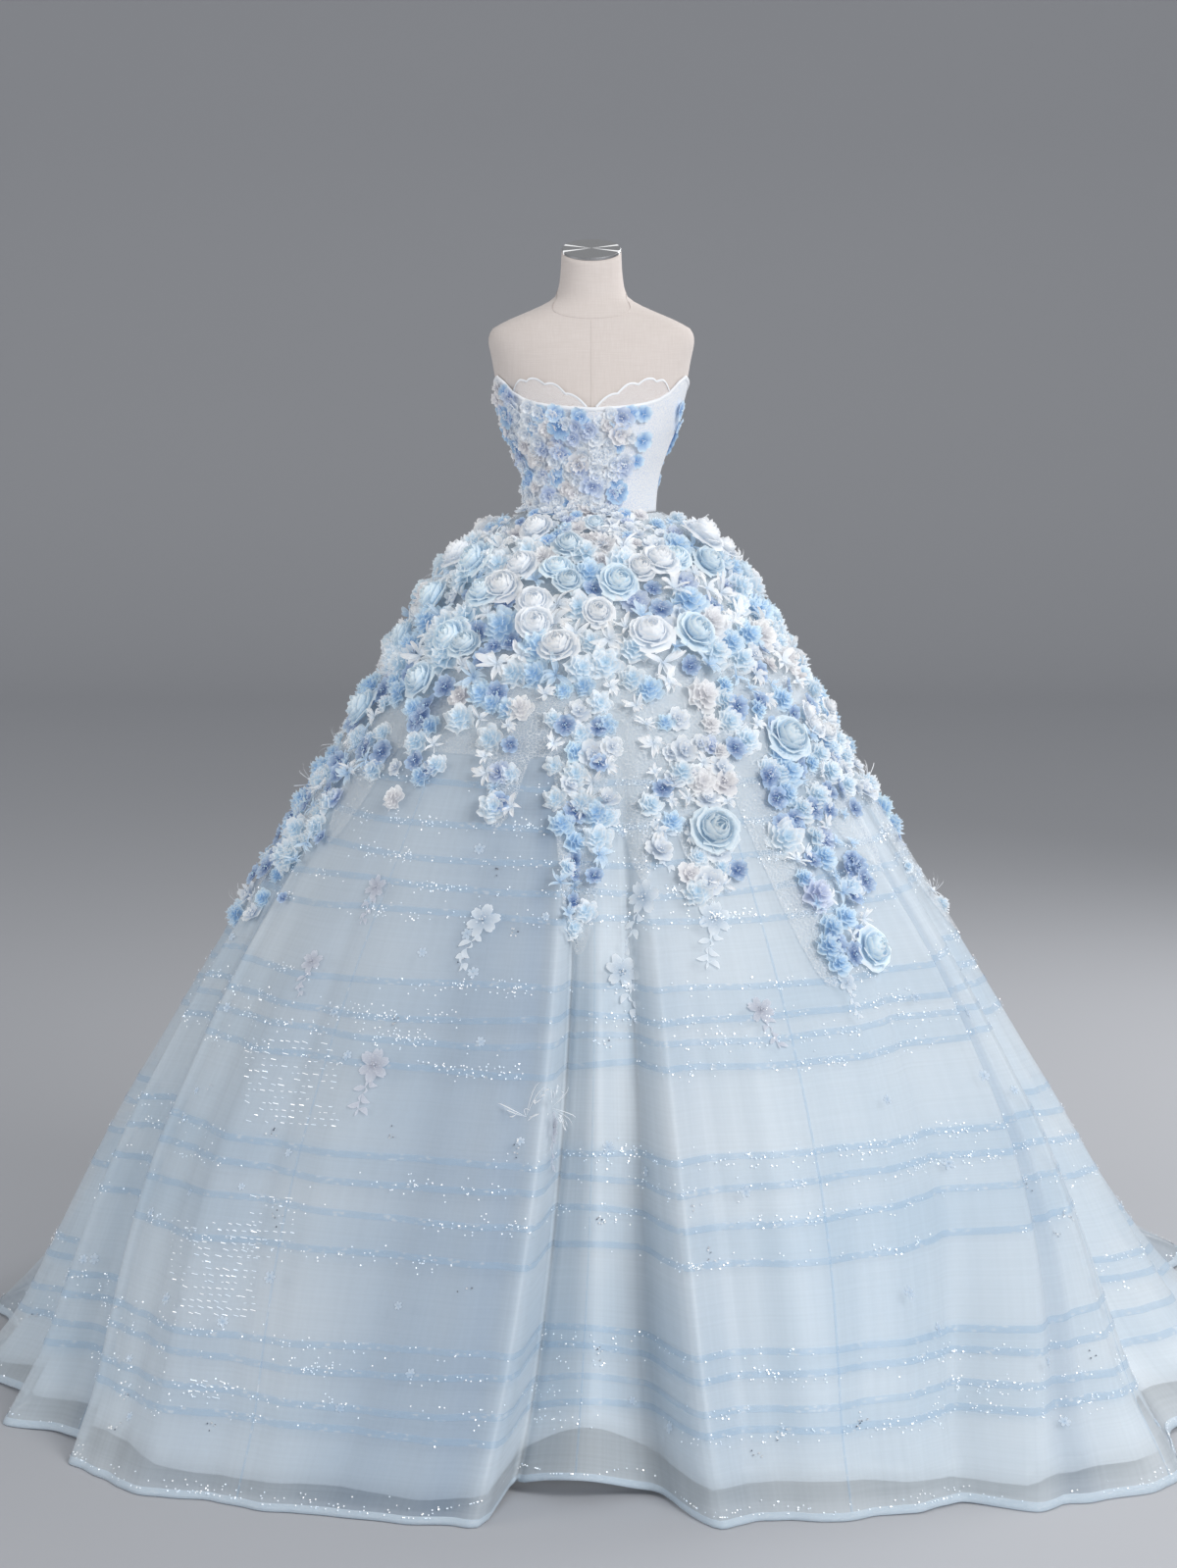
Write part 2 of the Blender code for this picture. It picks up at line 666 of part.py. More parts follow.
def bodice_point(bearing, height):
    """Point of the bodice's inner face, just clear of the form."""
    half_width, half_depth = form_size(height)
    return at_bearing(bearing, half_width + BODICE_CLEARANCE, half_depth + BODICE_CLEARANCE, height)


def bodice_blooms():
    """Blossoms of the bodice, in rows."""
    blooms = []
    for row in BODICE_ROWS:
        for number in range(row.count):
            share = number / max(1, row.count - 1)
            bearing = row.from_bearing + (row.to_bearing - row.from_bearing) * share
            height = row.height + 0.008 * math.sin(2.7 * number + row.height * 90)
            size = 1.0 + 0.2 * math.sin(1.9 * number + row.height * 60)
            middle = bodice_point(bearing, height)
            blooms.append(Bloom(middle, BODICE_BLOSSOM_RADIUS * size, BODICE_BLOSSOM_RISE * size))
    return blooms


def bodice_bearings(start, end):
    """Bearings of a bodice panel's columns."""
    step = 360.0 / BODICE_COLUMNS
    count = round((end - start) / step)
    return [start + step * column for column in range(count + 1)]


def make_bodice():
    """Front panel and two back panels: plain inside, blossoms raised outside."""
    blooms = bodice_blooms()
    bottom = WAIST_HEIGHT + SEAM_GAP
    for name, start, end in (("front", -90, 90), ("back_right", 90, 180), ("back_left", 180, 270)):
        bearings = bodice_bearings(start, end)
        outer, inner = [], []
        for row in range(BODICE_HEIGHTS):
            outer_row, inner_row = [], []
            for bearing in bearings:
                top = neckline_height(bearing)
                binding_line = top - NECK_BINDING_DEPTH
                share = row / (BODICE_HEIGHTS - 2)
                height = bottom + (binding_line - bottom) * share if row < BODICE_HEIGHTS - 1 else top
                point, normal = bodice_point(bearing, height), outward(bodice_point, bearing, height)
                bare = row in (0, BODICE_HEIGHTS - 2, BODICE_HEIGHTS - 1)
                rise = 0.0 if bare else bloom_rise(point, blooms)
                inner_row.append(point)
                outer_row.append(point + normal * (BODICE_THICKNESS + rise))
            outer.append(outer_row)
            inner.append(inner_row)
        for row in (0, -1):
            for inside, outside in zip(inner[row], outer[row]):
                outside.z = inside.z
        outer.reverse()
        inner.reverse()
        wall(f"bodice_{name}", part_at_seams(outer), part_at_seams(inner), BODICE, 80)


def make_neck_binding():
    """Narrow white binding outside the bodice's top edge, front and back."""
    near = BODICE_THICKNESS + BINDING_GAP
    far = near + BINDING_THICKNESS
    for name, start, end in (("front", -90, 90), ("back", 90, 270)):
        bearings = bodice_bearings(start, end)
        heights = (neckline_height, lambda bearing: neckline_height(bearing) - NECK_BINDING_DEPTH)
        outer, inner = grid_pair(bearings, heights, bodice_point, lambda b, h: (far, near))
        for grid in (outer, inner):
            for point, bearing in zip(grid[0], bearings):
                point.z = neckline_height(bearing)
        wall(f"neck_binding_{name}", outer, inner, PIPING, 80)


def lace_top(bearing):
    """Height of the lace's scalloped edge."""
    side = abs(bearing)
    rise = between_rows(LACE_EDGE, "bearing", "rise", side)
    first, last = LACE_EDGE[0].bearing, LACE_EDGE[-1].bearing
    phase = math.pi * LACE_SCALLOPS * (side - first) / (last - first)
    return neckline_height(bearing) + rise + LACE_SCALLOP_DEPTH * abs(math.sin(phase))


def make_lace_cups():
    """Lace that stands above the neckline on each side of the front."""
    first, last = LACE_EDGE[0].bearing, LACE_EDGE[-1].bearing
    columns = 3 * LACE_SCALLOPS
    for name, side in (("left", -1), ("right", 1)):
        ends = sorted((side * first, side * last))
        bearings = [ends[0] + (ends[1] - ends[0]) * column / columns for column in range(columns + 1)]
        outer, inner = [], []
        for share in (1.0, 0.5, 0.0):
            outer_row, inner_row = [], []
            for bearing in bearings:
                low = neckline_height(bearing) + SEAM_GAP
                point_height = low + (lace_top(bearing) - low) * share
                point = bodice_point(bearing, point_height)
                normal = outward(bodice_point, bearing, point_height)
                inner_row.append(point)
                outer_row.append(point + normal * LACE_THICKNESS)
            outer.append(outer_row)
            inner.append(inner_row)
        for inside, outside in zip(inner[-1], outer[-1]):
            outside.z = inside.z
        wall(f"lace_cup_{name}", outer, inner, LACE, 80)


# Dress form


def torso_rings():
    """Rings of the torso: the table's own, with even ones between waist and neckline."""
    waist, armpit = WAIST_HEIGHT, NECKLINE[4].height
    levels = [waist + (armpit - waist) * level / FORM_LEVELS for level in range(FORM_LEVELS + 1)]
    levels += [ring.height for ring in FORM_RINGS if not waist <= ring.height <= armpit + 0.01]
    return [FormRing(level, *form_size(level), tilt_at(level)) for level in sorted(levels)]


def tilt_at(height):
    """Tilt of the form's section at a height, in degrees."""
    return between_rows(FORM_RINGS, "height", "tilt_deg", height)


def make_torso():
    """Smooth closed torso with shoulders and neck, lofted through the form's rings."""
    vertices, faces = [], []
    rings = torso_rings()
    for ring in rings:
        for column in range(FORM_COLUMNS):
            bearing = 360.0 * column / FORM_COLUMNS
            point = at_bearing(bearing, ring.half_width, ring.half_depth, ring.height)
            point.z += math.tan(math.radians(ring.tilt_deg)) * point.y
            vertices.append(point)
    for ring in range(len(rings) - 1):
        for column in range(FORM_COLUMNS):
            a = ring * FORM_COLUMNS + column
            b = ring * FORM_COLUMNS + (column + 1) % FORM_COLUMNS
            faces.append((a, b, b + FORM_COLUMNS, a + FORM_COLUMNS))
    top = (len(rings) - 1) * FORM_COLUMNS
    faces.append(tuple(reversed(range(FORM_COLUMNS))))
    faces.append(tuple(range(top, top + FORM_COLUMNS)))
    add_piece("form_torso", vertices, faces, LINEN)


def turned(name, profile, finish, steps=32):
    """Round piece from a profile of (radius, height) that runs down its outer side."""
    mesh = bpy.data.meshes.new(name)
    points = [(radius, 0.0, height) for radius, height in profile]
    mesh.from_pydata(points, [(i, i + 1) for i in range(len(points) - 1)], [])
    mesh.materials.append(material_for(finish))
    piece = bpy.data.objects.new(name, mesh)
    GOWN.objects.link(piece)
    screw = piece.modifiers.new("turn", "SCREW")
    screw.axis = "Z"
    screw.steps = steps
    screw.render_steps = steps
    screw.use_merge_vertices = True
    screw.merge_threshold = 0.00001
    screw.use_smooth_shade = True
    return piece


def make_stand():
    """Weighted round base and the pole with the flange that carries the torso."""
    edge = 0.003
    turned(
        "form_base",
        (
            (0.0, BASE_THICKNESS),
            (BASE_RADIUS - edge, BASE_THICKNESS),
            (BASE_RADIUS, BASE_THICKNESS - edge),
            (BASE_RADIUS, 0.0),
            (0.0, 0.0),
        ),
        ENAMEL,
    )
    foot = BASE_THICKNESS + SEAM_GAP
    top = FORM_RINGS[0].height - SEAM_GAP
    turned(
        "form_pole",
        (
            (0.0, top),
            (POLE_FLANGE_RADIUS, top),
            (POLE_FLANGE_RADIUS, top - POLE_FLANGE_THICKNESS),
            (POLE_RADIUS, top - 3 * POLE_FLANGE_THICKNESS),
            (POLE_RADIUS, foot),
            (0.0, foot),
        ),
        STEEL,
        24,
    )


def make_neck_cap():
    """Round steel plate on the neck's tilted end."""
    neck = FORM_RINGS[-1]
    radius = neck.half_width - 0.0005
    edge = 0.0012
    cap = turned(
        "form_neck_cap",
        (
            (0.0, CAP_THICKNESS),
            (radius - edge, CAP_THICKNESS),
            (radius, CAP_THICKNESS - edge),
            (radius, 0.0),
            (0.0, 0.0),
        ),
        STEEL,
        FORM_COLUMNS,
    )
    tilt = math.radians(neck.tilt_deg)
    cap.location = (0.0, -math.sin(tilt) * SEAM_GAP, neck.height + math.cos(tilt) * SEAM_GAP)
    cap.rotation_euler = (tilt, 0.0, 0.0)


clear_scene()
GOWN = gown_collection()
make_stand()
make_torso()
make_neck_cap()
make_bodice()
make_neck_binding()
make_lace_cups()
make_lining()
make_overskirt()
make_hem_binding()
make_mantle()
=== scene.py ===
"""Strapless ice-blue ball gown on a limbless dress form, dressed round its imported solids.

Everything is in metres in the solids' own frame: +Z up, the gown's front faces -Y.
A bearing is the angle round the pole in degrees: 0 is the front, 90 is +X, 180 the back.
"""

import functools
import itertools
import math
import random
from collections import namedtuple

import bpy
import numpy as np
from mathutils import Euler, Matrix, Vector
from mathutils.bvhtree import BVHTree


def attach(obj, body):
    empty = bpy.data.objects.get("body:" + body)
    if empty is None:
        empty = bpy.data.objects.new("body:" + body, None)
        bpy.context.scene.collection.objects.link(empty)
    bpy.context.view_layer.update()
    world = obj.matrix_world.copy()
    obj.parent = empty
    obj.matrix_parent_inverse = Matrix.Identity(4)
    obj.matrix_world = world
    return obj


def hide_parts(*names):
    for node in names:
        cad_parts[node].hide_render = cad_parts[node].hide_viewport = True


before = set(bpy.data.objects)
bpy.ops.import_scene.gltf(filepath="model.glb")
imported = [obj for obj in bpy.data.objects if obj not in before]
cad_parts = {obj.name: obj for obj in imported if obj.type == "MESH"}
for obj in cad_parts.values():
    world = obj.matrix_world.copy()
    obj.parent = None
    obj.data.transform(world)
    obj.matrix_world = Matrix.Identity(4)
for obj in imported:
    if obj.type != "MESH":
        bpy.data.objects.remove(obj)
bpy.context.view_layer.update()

bl_info = {
    "name": "Ice Blue Ball Gown",
    "version": (1, 0, 0),
    "blender": (4, 5, 0),
    "location": "3D View > Sidebar > Gown",
    "description": "Adds a strapless organza ball gown with raised blossoms to its dress form",
    "category": "Add Mesh",
}

Bloom = namedtuple("Bloom", "px py kind size")


def table(fields, *rows):
    """Rows with named columns."""
    kind = namedtuple("Row", fields)
    return tuple(kind(*row) for row in rows)


def blooms(*runs):
    """Blossoms in runs of one kind: the photo pixel of each one's middle and its size in millimetres."""
    return tuple(Bloom(px, py, kind, size / 1000) for kind, *spots in runs for px, py, size in spots)


# Skirt form, as the solids have it
WAIST_HEIGHT = 1.510
LEAN_HEIGHT = 0.84
HEM_CLEAR = 0.0010
SKIRT_RINGS = table(
    "height radius depth_ratio fold_share train_share",
    (1.51, 0.1175, 0.76, 0, 0), (1.48, 0.168, 0.83, 0, 0), (1.44, 0.217, 0.9, 0, 0),
    (1.38, 0.268, 0.95, 0, 0), (1.3, 0.322, 0.98, 0.01, 0), (1.19, 0.392, 1, 0.02, 0),
    (1.05, 0.475, 1, 0.05, 0), (0.91, 0.562, 1, 0.12, 0), (0.72, 0.675, 1, 0.28, 0.01),
    (0.58, 0.754, 1, 0.43, 0.03), (0.46, 0.82, 1, 0.6, 0.07), (0.335, 0.882, 1, 0.74, 0.15),
    (0.197, 0.944, 1, 0.88, 0.33), (0.107, 0.986, 1, 0.95, 0.56), (0, 1.06, 1, 1, 1),
)
TRAIN = table(
    "bearing reach",
    (-180, 0.46), (-150, 0.38), (-125, 0.18), (-100, 0.05), (-70, 0.03), (-40, 0.05), (0, 0.04),
    (30, 0.08), (50, 0.16), (80, 0.14), (105, 0.12), (130, 0.36), (155, 0.44),
)

# Folds at the hem: crest or hollow, bearing at the hem and from LEAN_HEIGHT up, radius, lift, seam
HEM = table(
    "name bearing upper_bearing radius lift seam",
    ("train hollow middle", -174, -174, 1.46, 0.01, False),
    ("train fold left", -160, -160, 1.54, 0, False),
    ("train hollow left", -147, -147, 1.37, 0.008, True),
    ("left train fold", -132, -133, 1.35, 0, False),
    ("left train hollow", -117, -120, 1.11, 0.01, True),
    ("left back fold", -102, -108, 1.15, 0, False),
    ("left back hollow", -89, -98, 1.055, 0.008, True),
    ("left side fold", -77, -88, 1.125, 0, False),
    ("left side hollow", -68, -81, 1.06, 0.005, False),
    ("left second flute", -60, -74.5, 1.13, 0, False),
    ("left hollow", -52.5, -68.5, 1.08, 0.004, True),
    ("left main fold edge", -47, -63, 1.146, 0, False),
    ("left main fold", -38.5, -50, 1.185, 0, False),
    ("left broad fold", -29, -37, 1.15, 0, True),
    ("left front", -18.5, -15.5, 1.132, 0, False),
    ("left of centre crest", -8.7, -4.6, 1.118, 0, False),
    ("centre hollow left", -7.7, -3.4, 0.95, 0.012, False),
    ("centre column", -1.5, 0.5, 0.965, 0.032, True),
    ("centre hollow right", 5.3, 5, 0.955, 0.008, False),
    ("right of centre crest", 10.2, 9.5, 1.128, 0, False),
    ("right front dip", 15.5, 18, 1.118, 0, False),
    ("right soft fold", 20.5, 28, 1.154, 0, True),
    ("right hollow", 30, 47, 1.152, 0.002, False),
    ("right main fold", 34, 59, 1.24, 0, False),
    ("right main fold back", 46, 68, 1.29, 0, True),
    ("right side hollow", 58, 76, 1.15, 0.006, False),
    ("right side fold", 70, 84, 1.24, 0, False),
    ("right back hollow", 82, 92, 1.12, 0.006, True),
    ("right back fold", 94, 101, 1.21, 0, False),
    ("right train hollow", 106, 110, 1.12, 0.008, False),
    ("right train fold", 119, 121, 1.35, 0, True),
    ("train hollow right", 132, 133, 1.38, 0.01, False),
    ("train fold right", 145, 145, 1.55, 0, False),
    ("train hollow back", 158, 158, 1.46, 0.008, True),
    ("train fold middle", 172, 172, 1.57, 0, False),
)

# Soft creases laid on the folds: a ridge has a positive depth, a trough a negative one
CREASES = table(
    "bearing low_height high_height half_width depth",
    (-60, 0, 1.15, 1.5, 0.012), (-56, 0, 1.05, 1.6, -0.012), (-47, 0, 1.2, 1.3, 0.014),
    (-50.5, 0, 1.1, 1.3, -0.014), (-41.5, 0.05, 1.05, 1.4, -0.01), (-37, 0, 0.95, 1.3, 0.008),
    (-32, 0, 1.1, 1.4, -0.01), (-26.5, 0, 1, 1.6, 0.01), (-21.5, 0.1, 1.15, 1.3, -0.009),
    (-14.5, 0, 1.05, 1.7, 0.008), (-9.6, 0, 1.2, 1, 0.012), (-7.4, 0, 1.15, 0.6, -0.02),
    (-1, 0, 1.1, 3.6, 0.014), (7, 0, 1.15, 0.9, -0.02), (10.2, 0, 1.2, 1, 0.012),
    (13.4, 0, 1, 1.1, -0.009), (17.6, 0.05, 1.05, 1.3, 0.008), (22.6, 0, 0.95, 1.3, -0.008),
    (26.2, 0, 1.15, 1.2, 0.009), (30.8, 0.1, 1.15, 1.1, -0.018), (34, 0, 1.2, 1.1, 0.012),
    (36.8, 0, 1.1, 1, -0.014), (40, 0.05, 1, 1.4, -0.008), (43.5, 0, 0.9, 1.4, 0.008),
    (51, 0, 1.1, 1.6, -0.01), (63.5, 0.05, 0.95, 1.7, 0.009), (75.5, 0, 1.05, 1.6, -0.01),
    (88, 0.1, 1.05, 1.6, 0.008), (100, 0, 0.9, 1.5, -0.009), (113, 0, 1.05, 1.8, 0.01),
    (125.5, 0.05, 0.9, 1.6, -0.01), (139, 0, 1, 1.8, 0.009), (151.5, 0, 0.85, 1.6, -0.009),
    (165, 0.05, 1.05, 1.5, 0.01), (179, 0, 0.95, 1.7, -0.009), (-167, 0, 0.9, 1.6, 0.009),
    (-153.5, 0.1, 1.05, 1.5, -0.009), (-139.5, 0, 0.85, 1.8, 0.009), (-124.5, 0, 1, 1.6, -0.01),
    (-109.5, 0.05, 1.1, 1.5, 0.009), (-95.5, 0, 0.9, 1.4, -0.008), (-83, 0, 1.05, 1.3, 0.008),
    (-72.5, 0.05, 0.95, 1.2, -0.008), (-65.5, 0, 1, 1.1, -0.008),
)

OVERSKIRT_COLUMNS = 640
OVERSKIRT_ROWS = 112
LINING_COLUMNS = 320
LINING_ROWS = 56
LINING_HEM_HEIGHT = 0.034
LINING_GAP_WAIST = 0.0024
LINING_GAP_HEM = 0.0240
HEM_BINDING_DEPTH = 0.010
TRIM_GAP = 0.0014
HEM_GAP = 0.0012
FLOOR_CLEAR = 0.0008
SEAM_SPREAD = 0.09
SEAM_TOP = 1.25
SEAM_FOOT = 0.006
SEAM_ROWS = 110
LINING_THICKNESS = 0.0006
OVERSKIRT_FLAT = (8.30, 1.86)
LINING_FLAT = (7.40, 1.80)

# Ribbon bands: heights on the cloth, and the pairs whose cloth between is doubled and so shows darker
TUCK_MARGIN = 0.004
TUCK_SHADE = 0.42
BAND_WAVE = 0.004
BAND_RIPPLE = 0.003
RIBBON_HEIGHTS = (
    0.110, 0.142, 0.190, 0.222, 0.353, 0.410, 0.460, 0.500,
    0.634, 0.675, 0.708, 0.757, 0.862, 0.904, 0.950, 1.004, 1.070,
)
TUCKS = ((0.110, 0.142), (0.190, 0.222), (0.353, 0.410), (0.460, 0.500), (0.634, 0.675), (0.708, 0.757))

# Painted shade laid into the organza's colour where a fold turns inwards and the light reaches it less:
# bearing, half width and strength
PAINTED_SHADE_TOP = 1.32
PAINTED_SHADE_FADE = 0.25
PAINTED_FOLD_SHADES = table(
    "bearing half_width strength",
    (-19, 6.5, 0.8), (-12, 2.8, 0.7), (12, 2.4, 0.25), (-34, 6, 0.42), (37.6, 2.4, 0.5), (-52, 2.4, 0.45),
    (-64, 2.4, 0.35), (52, 3, 0.3), (84, 4, 0.45), (112, 5, 0.5), (146, 5, 0.5), (176, 4, 0.45),
    (-96, 4, 0.45), (-128, 6, 0.5), (-158, 5, 0.5),
)

# Trails of blossoms that hang below the mantle's edge
MANTLE_EDGE_HEIGHT = 1.165
MANTLE_HEM_DROP = 0.050
NET_COLUMNS = 288
NET_ROWS = 40
TRAILS = table(
    "bearing low_height half_width",
    (-80, 0.78, 13), (-57, 0.95, 9), (-18, 1, 5.5), (-2, 0.8, 6.5), (9, 0.92, 5), (20, 0.88, 6.5),
    (37, 0.74, 8.5), (60, 0.9, 8), (84, 0.76, 12), (112, 0.92, 8), (138, 0.8, 8), (160, 0.96, 6.5),
    (180, 0.82, 7), (-158, 0.95, 6.5), (-135, 0.82, 8), (-110, 0.94, 8),
)

# Dress form, as the solids have it
FORM_RINGS = table(
    "height half_width half_depth tilt_deg",
    (1.3, 0.15, 0.108, 0), (1.312, 0.156, 0.114, 0), (1.37, 0.156, 0.114, 0), (1.43, 0.139, 0.101, 0),
    (1.48, 0.117, 0.087, 0), (1.51, 0.112, 0.084, 0), (1.545, 0.114, 0.086, 0), (1.577, 0.119, 0.091, 0),
    (1.623, 0.134, 0.105, 0), (1.661, 0.149, 0.114, 0), (1.7, 0.16, 0.116, 0), (1.736, 0.169, 0.108, 0),
    (1.78, 0.177, 0.097, 0), (1.815, 0.183, 0.084, 0), (1.832, 0.178, 0.077, 0), (1.848, 0.152, 0.072, 0),
    (1.862, 0.12, 0.068, 0), (1.876, 0.088, 0.063, 2), (1.892, 0.064, 0.058, 5), (1.915, 0.057, 0.055, 10),
    (1.945, 0.054, 0.053, 16), (1.971, 0.053, 0.053, 20),
)
NECK_SEAM_HEIGHT = 1.899
NECK_SEAM_DIP = 0.046
FORM_COLUMNS = 144
FORM_STEP = 0.008
FORM_SEAM_WIDTH = 0.0024
NECK_SEAM_WIDTH = 0.0016

# Bodice: top edge, and the lace that stands above it
NECKLINE = table(
    "bearing height",
    (0, 1.697), (20, 1.7), (40, 1.708), (56, 1.726), (70, 1.752), (88, 1.738), (125, 1.7), (155, 1.672),
    (180, 1.668),
)
LACE_EDGE = table(
    "bearing rise",
    (3, 0.002), (9, 0.011), (15, 0.022), (22, 0.031), (30, 0.036), (38, 0.036), (45, 0.028), (50, 0.015),
    (54, 0.003),
)
LACE_SCALLOPS = 4
LACE_SCALLOP_DEPTH = 0.007
BODICE_CLEARANCE = 0.0016
BODICE_THICKNESS = 0.0020
BODICE_BEARING_STEP = 9.0
BODICE_ROWS = 44
PANEL_THICKNESS = 0.0018
# Rounded section of the neckline's binding: rise over the edge and distance out
BINDING_SECTION = table(
    "rise out",
    (0.0012, 0.0006), (0.001, 0.0026), (-0.001, 0.0038), (-0.004, 0.0036), (-0.0062, 0.0024),
)
LACE_ROWS = 14
LACE_TUCK = 0.004
LACE_OUT = 0.0010
LACE_THICKNESS = 0.0008
LACE_CORD_WIDTH = 0.0038

# Camera: a long lens far off, pitched a little down, with no shift
IMAGE_WIDTH = 1200
IMAGE_HEIGHT = 1599
CAMERA_PLACE = (-0.0009, -6.628, 1.821)
CAMERA_PITCH = 6.898
CAMERA_TURN = 0.037
LENS = 84.92
SENSOR = 36.0
AXIS_PX = 603

# Soft lights of the studio: a large one like a window, a fill from the left and a rim from behind
LIGHTS = table(
    "name place aim_height size watts",
    ("key_window", (4.2, -5.2, 4.6), 0.8, 3.4, 345),
    ("fill_panel", (-6, -2.2, 2.2), 0.6, 3, 92),
    ("rim_panel", (3.2, 3.4, 3.4), 1.2, 2.2, 110),
)
AIR_STRENGTH = 0.48

# Blossoms that show most, by the photo pixel of their middle, with their real size across
SKIRT_BLOOMS = blooms(
    ("white_rose", (551, 547, 56), (669, 580, 62), (709, 556, 76)), ("ice_rose", (629, 599, 62)),
    ("white_rose", (661, 653, 70), (570, 666, 64), (547, 620, 56)), ("pale_ruffle", (750, 602, 66)),
    ("ice_rose", (492, 578, 68), (455, 583, 54), (451, 615, 66), (466, 655, 66)),
    ("pale_ruffle", (409, 666, 70)), ("ice_rose", (436, 698, 62), (379, 728, 68)),
    ("pale_ruffle", (295, 876, 72)),
    ("ice_rose", (704, 650, 68), (717, 580, 58), (798, 758, 74), (725, 851, 74), (882, 971, 66)),
    ("pale_ruffle", (798, 857, 70)),
    (
        "sky_ruffle",
        (742, 658, 58), (760, 650, 60), (366, 706, 60), (382, 700, 52), (322, 786, 60), (312, 820, 60),
        (300, 846, 52),
    ),
    ("cream_blossom", (519, 588, 50), (613, 575, 44), (472, 712, 56)),
    ("cream_ruffle", (530, 725, 50), (715, 712, 66)), ("cream_blossom", (736, 800, 58)),
    ("white_blossom", (707, 792, 44), (722, 901, 58)), ("cream_ruffle", (404, 816, 44)),
    ("white_blossom", (405, 784, 36)), ("dusty_blossom", (519, 618, 46), (523, 658, 44), (509, 709, 46)),
    ("lilac_blossom", (511, 789, 50)),
    ("dusty_blossom", (511, 821, 42), (482, 610, 34), (434, 735, 50), (438, 787, 42), (382, 784, 36)),
    ("lilac_blossom", (345, 815, 44)),
    (
        "dusty_blossom",
        (331, 857, 34), (292, 918, 26), (577, 742, 44), (610, 744, 40), (610, 781, 38), (581, 892, 40),
        (582, 922, 38), (664, 604, 38), (723, 620, 44), (701, 682, 42), (771, 688, 46), (771, 717, 40),
        (746, 765, 46),
    ),
    ("lilac_blossom", (723, 762, 44)), ("dusty_blossom", (674, 807, 42), (750, 890, 40)),
    ("sky_ruffle", (801, 789, 58)), ("dusty_blossom", (806, 837, 40)), ("sky_ruffle", (837, 758, 48)),
    ("lilac_blossom", (839, 857, 50)), ("dusty_blossom", (867, 827, 40), (872, 885, 42)),
    ("lilac_ruffle", (829, 914, 66)), ("dusty_blossom", (865, 916, 48), (849, 964, 52)),
    ("sky_ruffle", (546, 690, 56)), ("pale_ruffle", (586, 792, 50), (592, 821, 50)),
)
BODICE_BLOOMS = blooms(
    ("sky_blossom", (516, 400, 36)), ("deep_blossom", (520, 424, 46), (515, 441, 40), (528, 454, 40)),
    ("sky_blossom", (535, 473, 34), (538, 492, 30)), ("deep_blossom", (546, 437, 28)),
    ("white_blossom", (549, 420, 30)), ("deep_blossom", (571, 435, 48)),
    ("sky_blossom", (566, 421, 36), (592, 426, 28)), ("lilac_blossom", (601, 438, 34)),
    ("cream_blossom", (631, 443, 44)), ("lilac_blossom", (633, 426, 48)),
    ("sky_blossom", (655, 422, 36), (654, 449, 42), (692, 418, 42), (690, 433, 32)),
    ("cream_blossom", (549, 466, 36)), ("lilac_blossom", (556, 485, 36), (571, 462, 40)),
    ("cream_blossom", (590, 472, 44)), ("white_blossom", (612, 464, 36)),
    ("lilac_blossom", (634, 474, 50), (604, 496, 50)), ("deep_blossom", (628, 502, 48)),
    ("cream_blossom", (585, 503, 34)), ("lilac_blossom", (562, 505, 38)), ("deep_blossom", (568, 524, 42)),
    ("cream_blossom", (602, 526, 52)), ("sky_blossom", (630, 526, 42)), ("cream_blossom", (585, 522, 36)),
    ("sky_blossom", (549, 526, 38)), ("cream_blossom", (652, 528, 34)), ("sky_blossom", (648, 470, 32)),
)

# Trails of small blossoms from the front, each a line of photo pixels with the half width at both ends
TRAIL_LINES = table(
    "px0 py0 px1 py1 half0 half1 mood",
    (380, 690, 330, 795, 46, 36, "blue"), (330, 790, 287, 880, 34, 24, "blue"),
    (287, 875, 248, 940, 22, 9, "pale"), (434, 720, 440, 795, 24, 13, "blue"),
    (384, 740, 381, 792, 22, 11, "blue"), (508, 705, 512, 828, 24, 15, "blue"),
    (588, 700, 598, 832, 40, 36, "pale"), (598, 830, 582, 948, 32, 13, "blue"),
    (668, 725, 675, 882, 22, 12, "pale"), (716, 715, 722, 912, 36, 22, "cream"),
    (770, 690, 812, 790, 46, 46, "blue"), (812, 790, 842, 880, 46, 42, "blue"),
    (842, 880, 866, 985, 40, 26, "blue"), (826, 720, 880, 810, 24, 16, "white"),
)
MOODS = {
    "blue": {"dusty_blossom": 6, "sky_ruffle": 4, "pale_ruffle": 6, "white_spray": 3, "blue_spray": 3},
    "pale": {"pale_ruffle": 7, "sky_ruffle": 4, "white_blossom": 3, "white_spray": 4, "dusty_blossom": 1},
    "cream": {"cream_blossom": 3, "cream_ruffle": 2, "pale_ruffle": 5, "white_spray": 3, "white_blossom": 3},
    "white": {"pale_ruffle": 4, "white_blossom": 4, "white_rose": 3, "white_spray": 3},
}

# Flat lace motifs and feathery sprigs below the mass of blossoms
FLAT_BLOOMS = blooms(
    ("lace_nude", (380, 915, 78)), ("lace_white", (487, 952, 107)),
    ("lace_nude", (315, 990, 75), (378, 1100, 101)),
    ("lace_white", (652, 930, 112), (638, 1005, 104), (677, 857, 91), (727, 950, 104)),
    ("lace_nude", (780, 1040, 81)), ("lace_white", (866, 1012, 73)), ("lace_nude", (562, 1160, 81)),
    (
        "sprig",
        (498, 566, 90), (712, 545, 80), (285, 800, 84), (250, 925, 70), (538, 1140, 90), (560, 1130, 80),
        (742, 640, 80), (468, 574, 70), (340, 760, 70),
    ),
)

